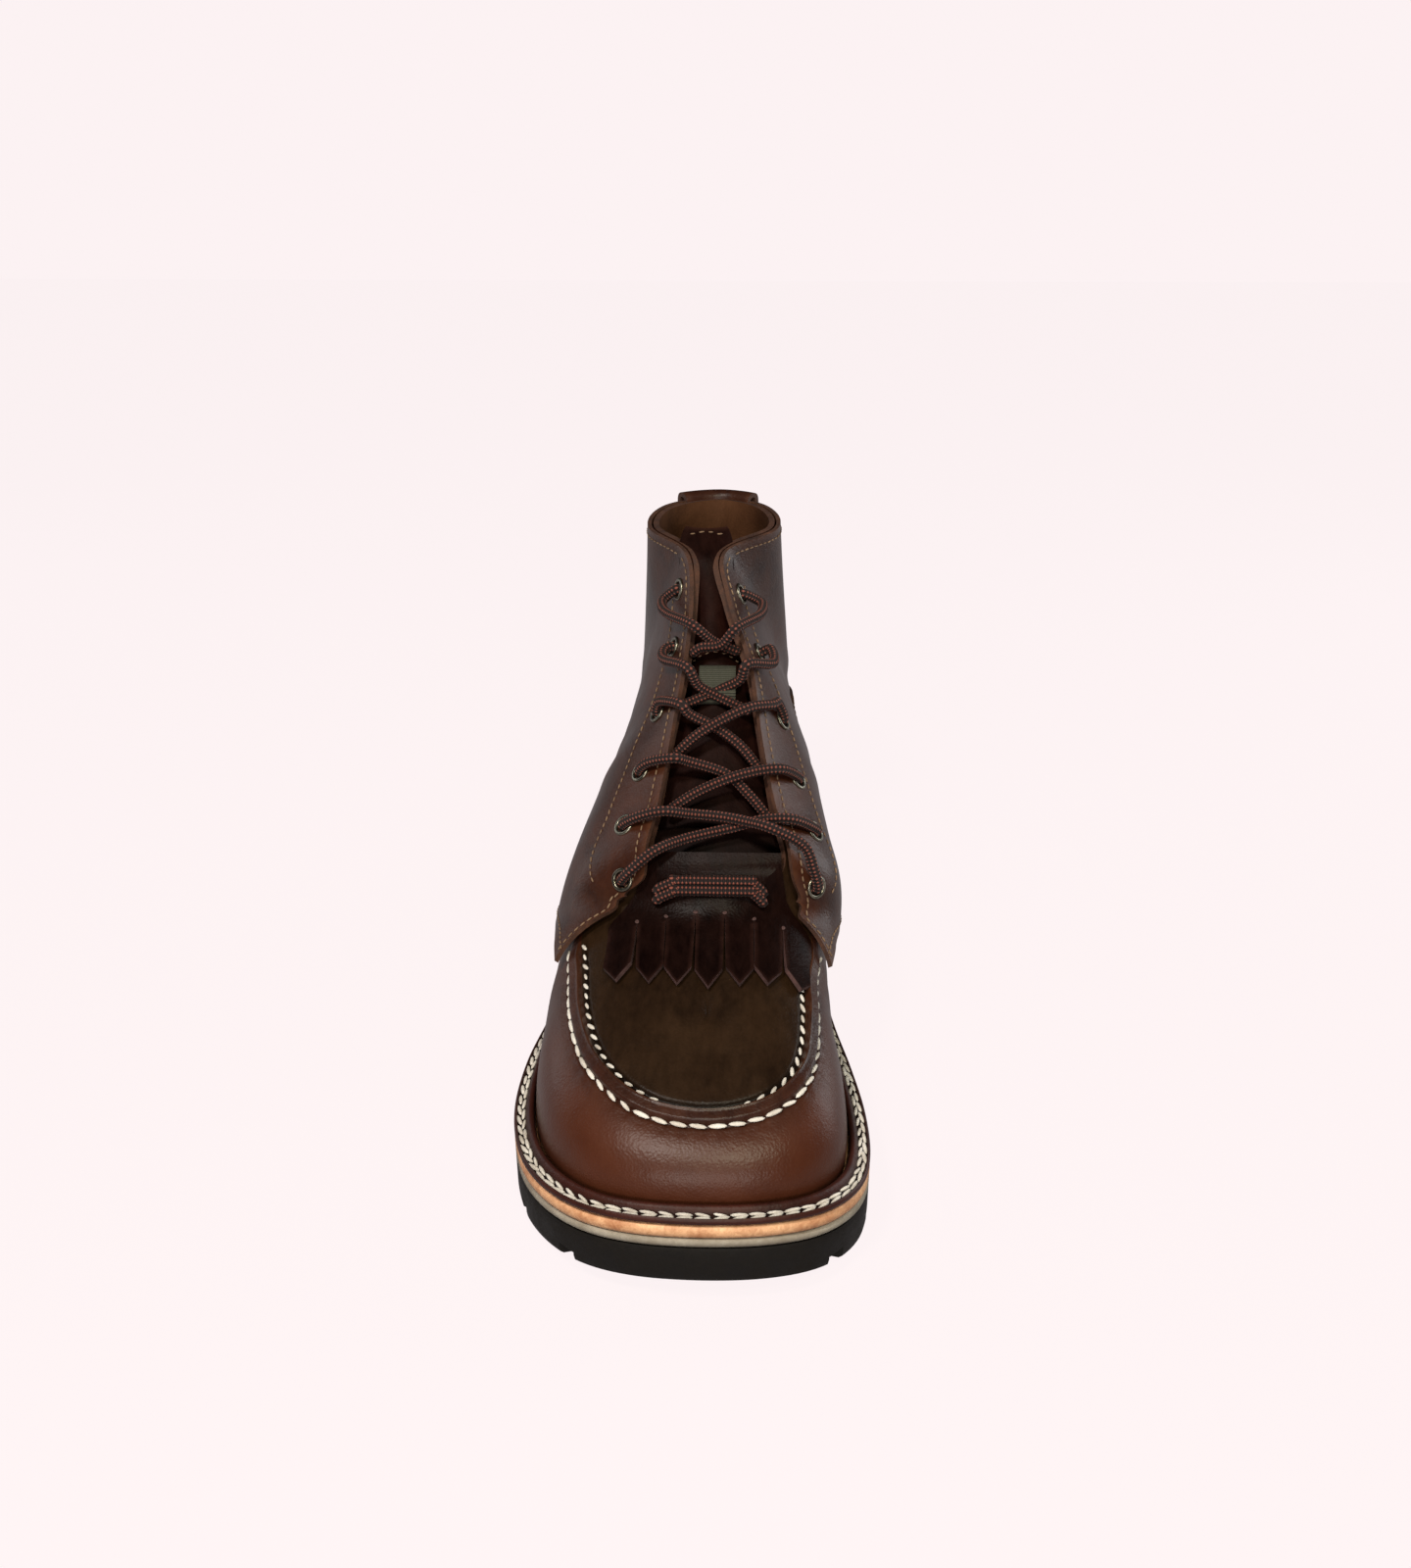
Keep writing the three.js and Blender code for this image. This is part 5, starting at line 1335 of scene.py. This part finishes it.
BACK_LIFT = BACK_OFFSET + OVERLAY + THREAD_LIFT
around = even_places(120, 0.3, COUNTER_FRONT + 0.15, LAST_RIB)
for word, inset in (("a", 2.6), ("b", 4.4)):
    points, outs = [], []
    for side, places in ((LATERAL, around), (MEDIAL, around[::-1][1:])):
        up = counter_high(places) - inset / stretch(side, places, 0.3)
        normal = skin_normal(side, places, up)
        points.append(skin(side, places, up) + normal * BACK_LIFT)
        outs.append(normal)
    stitches("counter_row_" + word, np.concatenate(points), np.concatenate(outs), thread_tan, seed=21,
             **FINE_THREAD)
for side, word in SIDES:
    up = np.linspace(COUNTER_UP + 0.03, 0.95, 80)
    places = np.full(80, LAST_RIB - 0.38)
    normal = skin_normal(side, places, up)
    stitches("backstay_row_" + word, skin(side, places, up) + normal * BACK_LIFT, normal, thread_tan, seed=22,
             **FINE_THREAD)
for name, place_at, rise, span, sag in (("tongue_row_top", TONGUE_END, 9.5, 0.5, 1.5),
                                        ("tongue_row_arc", 11.35, 0.0, 0.6, 1.2)):
    t = np.linspace(-0.5, 0.5, 60)
    centre, out = tongue_at(np.full(60, place_at), 0.5 + t * span, rise + sag - 4 * sag * t ** 2)
    stitches(name, centre + out * (TONGUE_THICK / 2 + 0.15), out, thread_tan, 2.6, 2.0, 0.62, 0.5, seed=23,
             finish="dark_leather")

# %% [markdown]
# The eyelets are thin rolled rings of antique nickel. A second tree makes them from a few inputs: it turns
# a small round wire into a ring, flattens it, and stands one on each seat. The same tree, with smaller
# values and dark leather, gives the pinholes that end the kiltie's slits.

# %% The eyelet tree
ring_tree = bpy.data.node_groups.new("Ring On Seat", "GeometryNodeTree")
ring_tree.interface.new_socket("Geometry", in_out="OUTPUT", socket_type="NodeSocketGeometry")
RING_IDS = {
    "Seats": tree_input(ring_tree, "Seats", "NodeSocketGeometry"),
    "Radius": tree_input(ring_tree, "Radius", "NodeSocketFloat", 0.0034),
    "Wire": tree_input(ring_tree, "Wire", "NodeSocketFloat", 0.0009),
    "Flat": tree_input(ring_tree, "Flat", "NodeSocketFloat", 0.7),
    "Metal": tree_input(ring_tree, "Metal", "NodeSocketMaterial"),
}
given = ring_tree.nodes.new("NodeGroupInput").outputs
spots = out_of(ring_tree, "GeometryNodeMeshToPoints", {0: given["Seats"]})
loop, wire = (out_of(ring_tree, "GeometryNodeCurvePrimitiveCircle",
                     {"Resolution": count, "Radius": given[size]}, mode="RADIUS")
              for count, size in ((40, "Radius"), (14, "Wire")))
swept = out_of(ring_tree, "GeometryNodeCurveToMesh", {"Curve": loop, "Profile Curve": wire})
squashed = out_of(ring_tree, "ShaderNodeCombineXYZ", {0: 1.0, 1: 1.0, 2: given["Flat"]})
flat_ring = out_of(ring_tree, "GeometryNodeTransform", {"Geometry": swept, "Scale": squashed})
outward = out_of(ring_tree, "GeometryNodeInputNamedAttribute", {0: "out"}, data_type="FLOAT_VECTOR")
facing_out = out_of(ring_tree, "FunctionNodeAlignRotationToVector", {"Vector": outward}, axis="Z")
rings_on = out_of(ring_tree, "GeometryNodeInstanceOnPoints",
                  {"Points": spots, "Instance": flat_ring, "Rotation": facing_out})
solid = out_of(ring_tree, "GeometryNodeRealizeInstances", {0: rings_on})
soft = out_of(ring_tree, "GeometryNodeSetShadeSmooth", {0: solid})
shiny = out_of(ring_tree, "GeometryNodeSetMaterial", {"Geometry": soft, "Material": given["Metal"]})
add(ring_tree, "NodeGroupOutput", {0: shiny})

seats = [eyelet_seat(side, k, 0.25) for side, _ in SIDES for k in range(EYELETS)]
eyelets = path_piece("eyelet_rings", [s[0] for s in seats], [s[1] for s in seats])
run_tree(eyelets, ring_tree, RING_IDS, Radius=0.0034, Wire=0.0007, Flat=0.8, Metal=old_nickel)
dress(eyelets, "eyelet", *[f"eyelet_{word}_{k + 1}" for _, word in SIDES for k in range(EYELETS)])
slit_x = np.array([-half + step * k for k in range(1, TAILS)])
holes = kiltie_point(slit_x, np.full(TAILS - 1, SLIT_END + 0.6)) + (0, 0, 0.02)
pinholes = path_piece("kiltie_pinholes", holes, np.tile((0, -0.35, 1.0), (TAILS - 1, 1)))
run_tree(pinholes, ring_tree, RING_IDS, Radius=0.0004, Wire=0.00038, Flat=0.35, Metal=fringe_edge)
dress(pinholes, "dark_leather")

# %% [markdown]
# The lace is a round braid, dark brown with two rows of lighter flecks. It crosses five times between the
# facings. Each strand comes up through an eyelet, lies over the facing, dips to the tongue and goes
# under the other facing. A point on its route is given as a rib, how far across the throat it is,
# where one is the facing's edge, and how high it lies. Its ends stop behind the top eyelets.

# %% The lace
LACE_RADIUS, LACE_SIDES = 1.8, 18
LACE_WELD = 1e-7  # in metres
EYELET_DEEP = -3.2  # where a strand starts or ends behind its eyelet, in mm


def over_throat(place, across, lift):
    """A point of a strand's route, over the throat or, beyond the facing's edge, over the quarter"""
    point, out = throat_line(place)
    side = MEDIAL if across > 0 else LATERAL
    edges = float(flap_offset(place) + OVERLAY)
    if abs(across) <= 1:
        ends = skin(LATERAL, place, 1)[0], skin(MEDIAL, place, 1)[0]
        return ends[0] + (ends[1] - ends[0]) * (across + 1) / 2 + out[0] * (lift + edges * abs(across) ** 4)
    return on_quarter(side, place, inset_up(side, np.array([place]), 10 * (abs(across) - 1)), lift)[0][0]


def spline(points, spacing=0.35):
    """A smooth line through the points in even steps, and its length"""
    points = np.asarray(points, float)
    padded = np.concatenate([[2 * points[0] - points[1]], points, [2 * points[-1] - points[-2]]])
    fine = []
    for a, b, c, d in zip(padded, padded[1:], padded[2:], padded[3:]):
        fine += [catmull(a, b, c, d, f) for f in np.linspace(0, 1, 30, endpoint=False)]
    fine = np.array(fine + [points[-1]])
    run = travel(fine)
    even = np.linspace(0, run[-1], max(8, int(run[-1] / spacing)))
    return np.stack([np.interp(even, run, fine[:, k]) for k in range(3)], -1), run[-1]


def tube(name, points):
    """A strand of lace along the points, and its length"""
    path, long = spline(points)
    along = np.gradient(path, axis=0)
    along /= np.linalg.norm(along, axis=-1, keepdims=True)
    side_way = np.cross(along[0], (0.3, 0.2, 1.0))
    rings, uv = [], []
    count, corners = len(path), LACE_SIDES + 1
    turn = np.linspace(0, 1, corners)
    for i in range(count):
        side_way = side_way - along[i] * side_way.dot(along[i])
        side_way /= np.linalg.norm(side_way)
        other = np.cross(along[i], side_way)
        run = long * i / (count - 1)
        weave = (np.sin(math.tau * (BRAID_TURNS * turn + run / BRAID_PITCH))
                 * np.sin(math.tau * (BRAID_TURNS * turn - run / BRAID_PITCH)))
        taper = min(1.0, 0.35 + 0.65 * min(i, count - 1 - i) / 3)
        r = LACE_RADIUS * taper * (1 + 0.05 * weave)
        rings.append(path[i] + r[:, None] * (np.cos(math.tau * turn)[:, None] * side_way
                                             + np.sin(math.tau * turn)[:, None] * other))
        uv.append(np.stack([turn, np.full(corners, run)], -1))
    faces = grid_faces(count, corners)
    faces += [list(range(LACE_SIDES, -1, -1)), list(range((count - 1) * corners, count * corners))]
    piece = new_piece(name, np.concatenate(rings), faces, [braid], uv=np.concatenate(uv))
    return shade(mended(piece, LACE_WELD), 60), long


# Each strand: side and number of the eyelet that it leaves, its route, and the eyelet that it may end in
STRANDS = {
    "lace_5_under": (LATERAL, 5, [(8.0, -1.35, 3.0), (8.22, -0.95, 3.4), (8.47, -0.5, 2.6), (8.65, 0.3, 2.4),
                                  (8.72, 0.8, 3.4), (8.68, 1.2, 3.2)], (MEDIAL, 4)),
    "lace_5_over": (LATERAL, 4, [(8.72, -1.3, 3.0), (8.8, -0.95, 3.8), (8.82, -0.5, 3.4), (8.76, 0.1, 5.0),
                                 (8.66, 0.55, 6.6), (8.52, 0.9, 7.2), (8.3, 1.2, 4.4), (8.05, 1.72, 2.8)],
                    (MEDIAL, 5)),
    "lace_4_under": (LATERAL, 3, [(9.6, -1.5, 2.8), (9.6, -0.95, 3.4), (9.6, -0.6, 2.4), (9.45, 0.2, 1.4),
                                  (9.15, 0.65, 0.4), (8.8, 0.98, -4.4)], None),
    "lace_4_over": (MEDIAL, 3, [(9.52, 1.7, 2.8), (9.46, 1.1, 3.6), (9.42, 0.8, 4.0), (9.3, 0.2, 5.0),
                                (9.12, -0.45, 2.4), (8.88, -0.98, -4.4)], None),
    "lace_3_under": (LATERAL, 2, [(10.55, -1.6, 2.8), (10.38, -1.0, 3.6), (10.27, -0.7, 2.8), (10.1, 0.05, 1.2),
                                  (9.85, 0.6, 0.2), (9.5, 1.0, -4.4)], None),
    "lace_3_over": (MEDIAL, 2, [(10.6, 1.8, 2.8), (10.46, 1.3, 3.4), (10.34, 0.85, 4.4), (10.14, 0.05, 5.2),
                                (9.95, -0.55, 2.2), (9.75, -0.98, -4.4)], None),
    "lace_2_under": (LATERAL, 1, [(11.45, -2.1, 3.4), (11.2, -1.7, 4.2), (10.9, -1.0, 3.4), (10.72, -0.6, 0.6),
                                  (10.6, 0.0, -1.4), (10.4, 0.95, -4.6)], None),
    "lace_2_over": (MEDIAL, 1, [(11.5, 2.4, 4.4), (11.15, 1.8, 4.6), (10.95, 1.0, 3.4), (10.8, 0.7, 0.8),
                                (10.7, 0.1, -1.2), (10.5, -0.95, -4.6)], None),
    "lace_1_under": (LATERAL, 0, [(12.6, -2.7, 3.6), (12.3, -2.4, 5.4), (11.9, -1.7, 5.0), (11.5, -1.0, 3.6),
                                  (11.36, -0.1, 0.6), (11.25, 0.95, -4.4)], None),
    "lace_1_over": (MEDIAL, 0, [(12.62, 3.1, 4.4), (12.3, 2.7, 6.4), (11.8, 1.7, 6.0), (11.45, 1.0, 4.6),
                                (11.27, 0.2, 3.2), (11.26, -0.6, 0.6), (11.2, -1.0, -4.4)], None),
}
lace_lengths = {}
for name, (side, k, route, ends_in) in STRANDS.items():
    points = [eyelet_seat(side, k, EYELET_DEEP)[0], eyelet_seat(side, k, 0.6)[0]]
    points += [over_throat(*spot) for spot in route]
    if ends_in:
        points += [eyelet_seat(*ends_in, 0.8)[0], eyelet_seat(*ends_in, EYELET_DEEP)[0]]
    strand, lace_lengths[name] = tube(name, points)
    dress(strand, "lace", *(["lace_cross_" + name[5]] if name.endswith("over") else []))

# The bar of lace over the kiltie is two strands side by side, with their ends dipped under the flaps
BAR_Y, BAR_HALF, BAR_APART, BAR_STRAIGHTER = 102.0, 17.0, 1.6, 0.35
bar_out = throat_line(THROAT_RIB + 0.6)[1][0]
for word, shift in (("front", -BAR_APART), ("back", BAR_APART)):
    across = np.linspace(-1, 1, 7) * BAR_HALF / kiltie_share(BAR_Y)
    points = kiltie_point(across, np.full(7, BAR_Y)) + bar_out * (LACE_RADIUS + 0.2)
    points[:, 2] += BAR_STRAIGHTER * (points[3, 2] - points[:, 2])
    ends = points[[0, -1]] + np.array([[-0.7, 0.6, -2.2], [0.7, 0.6, -2.2]])
    points = np.concatenate([ends[:1], points, ends[1:]])
    points += np.array([0, bar_out[2], -bar_out[1]]) * shift
    bar, lace_lengths["bar_" + word] = tube("lace_bar_" + word, points)
    dress(bar, "lace", *(["lace_bar"] if word == "front" else []))
print("lace in mm:", {name: round(float(long)) for name, long in lace_lengths.items()})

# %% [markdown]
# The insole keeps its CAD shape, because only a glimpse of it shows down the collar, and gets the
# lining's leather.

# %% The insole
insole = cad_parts["insole"]
insole.data.materials.clear()
insole.data.materials.append(lining_leather)
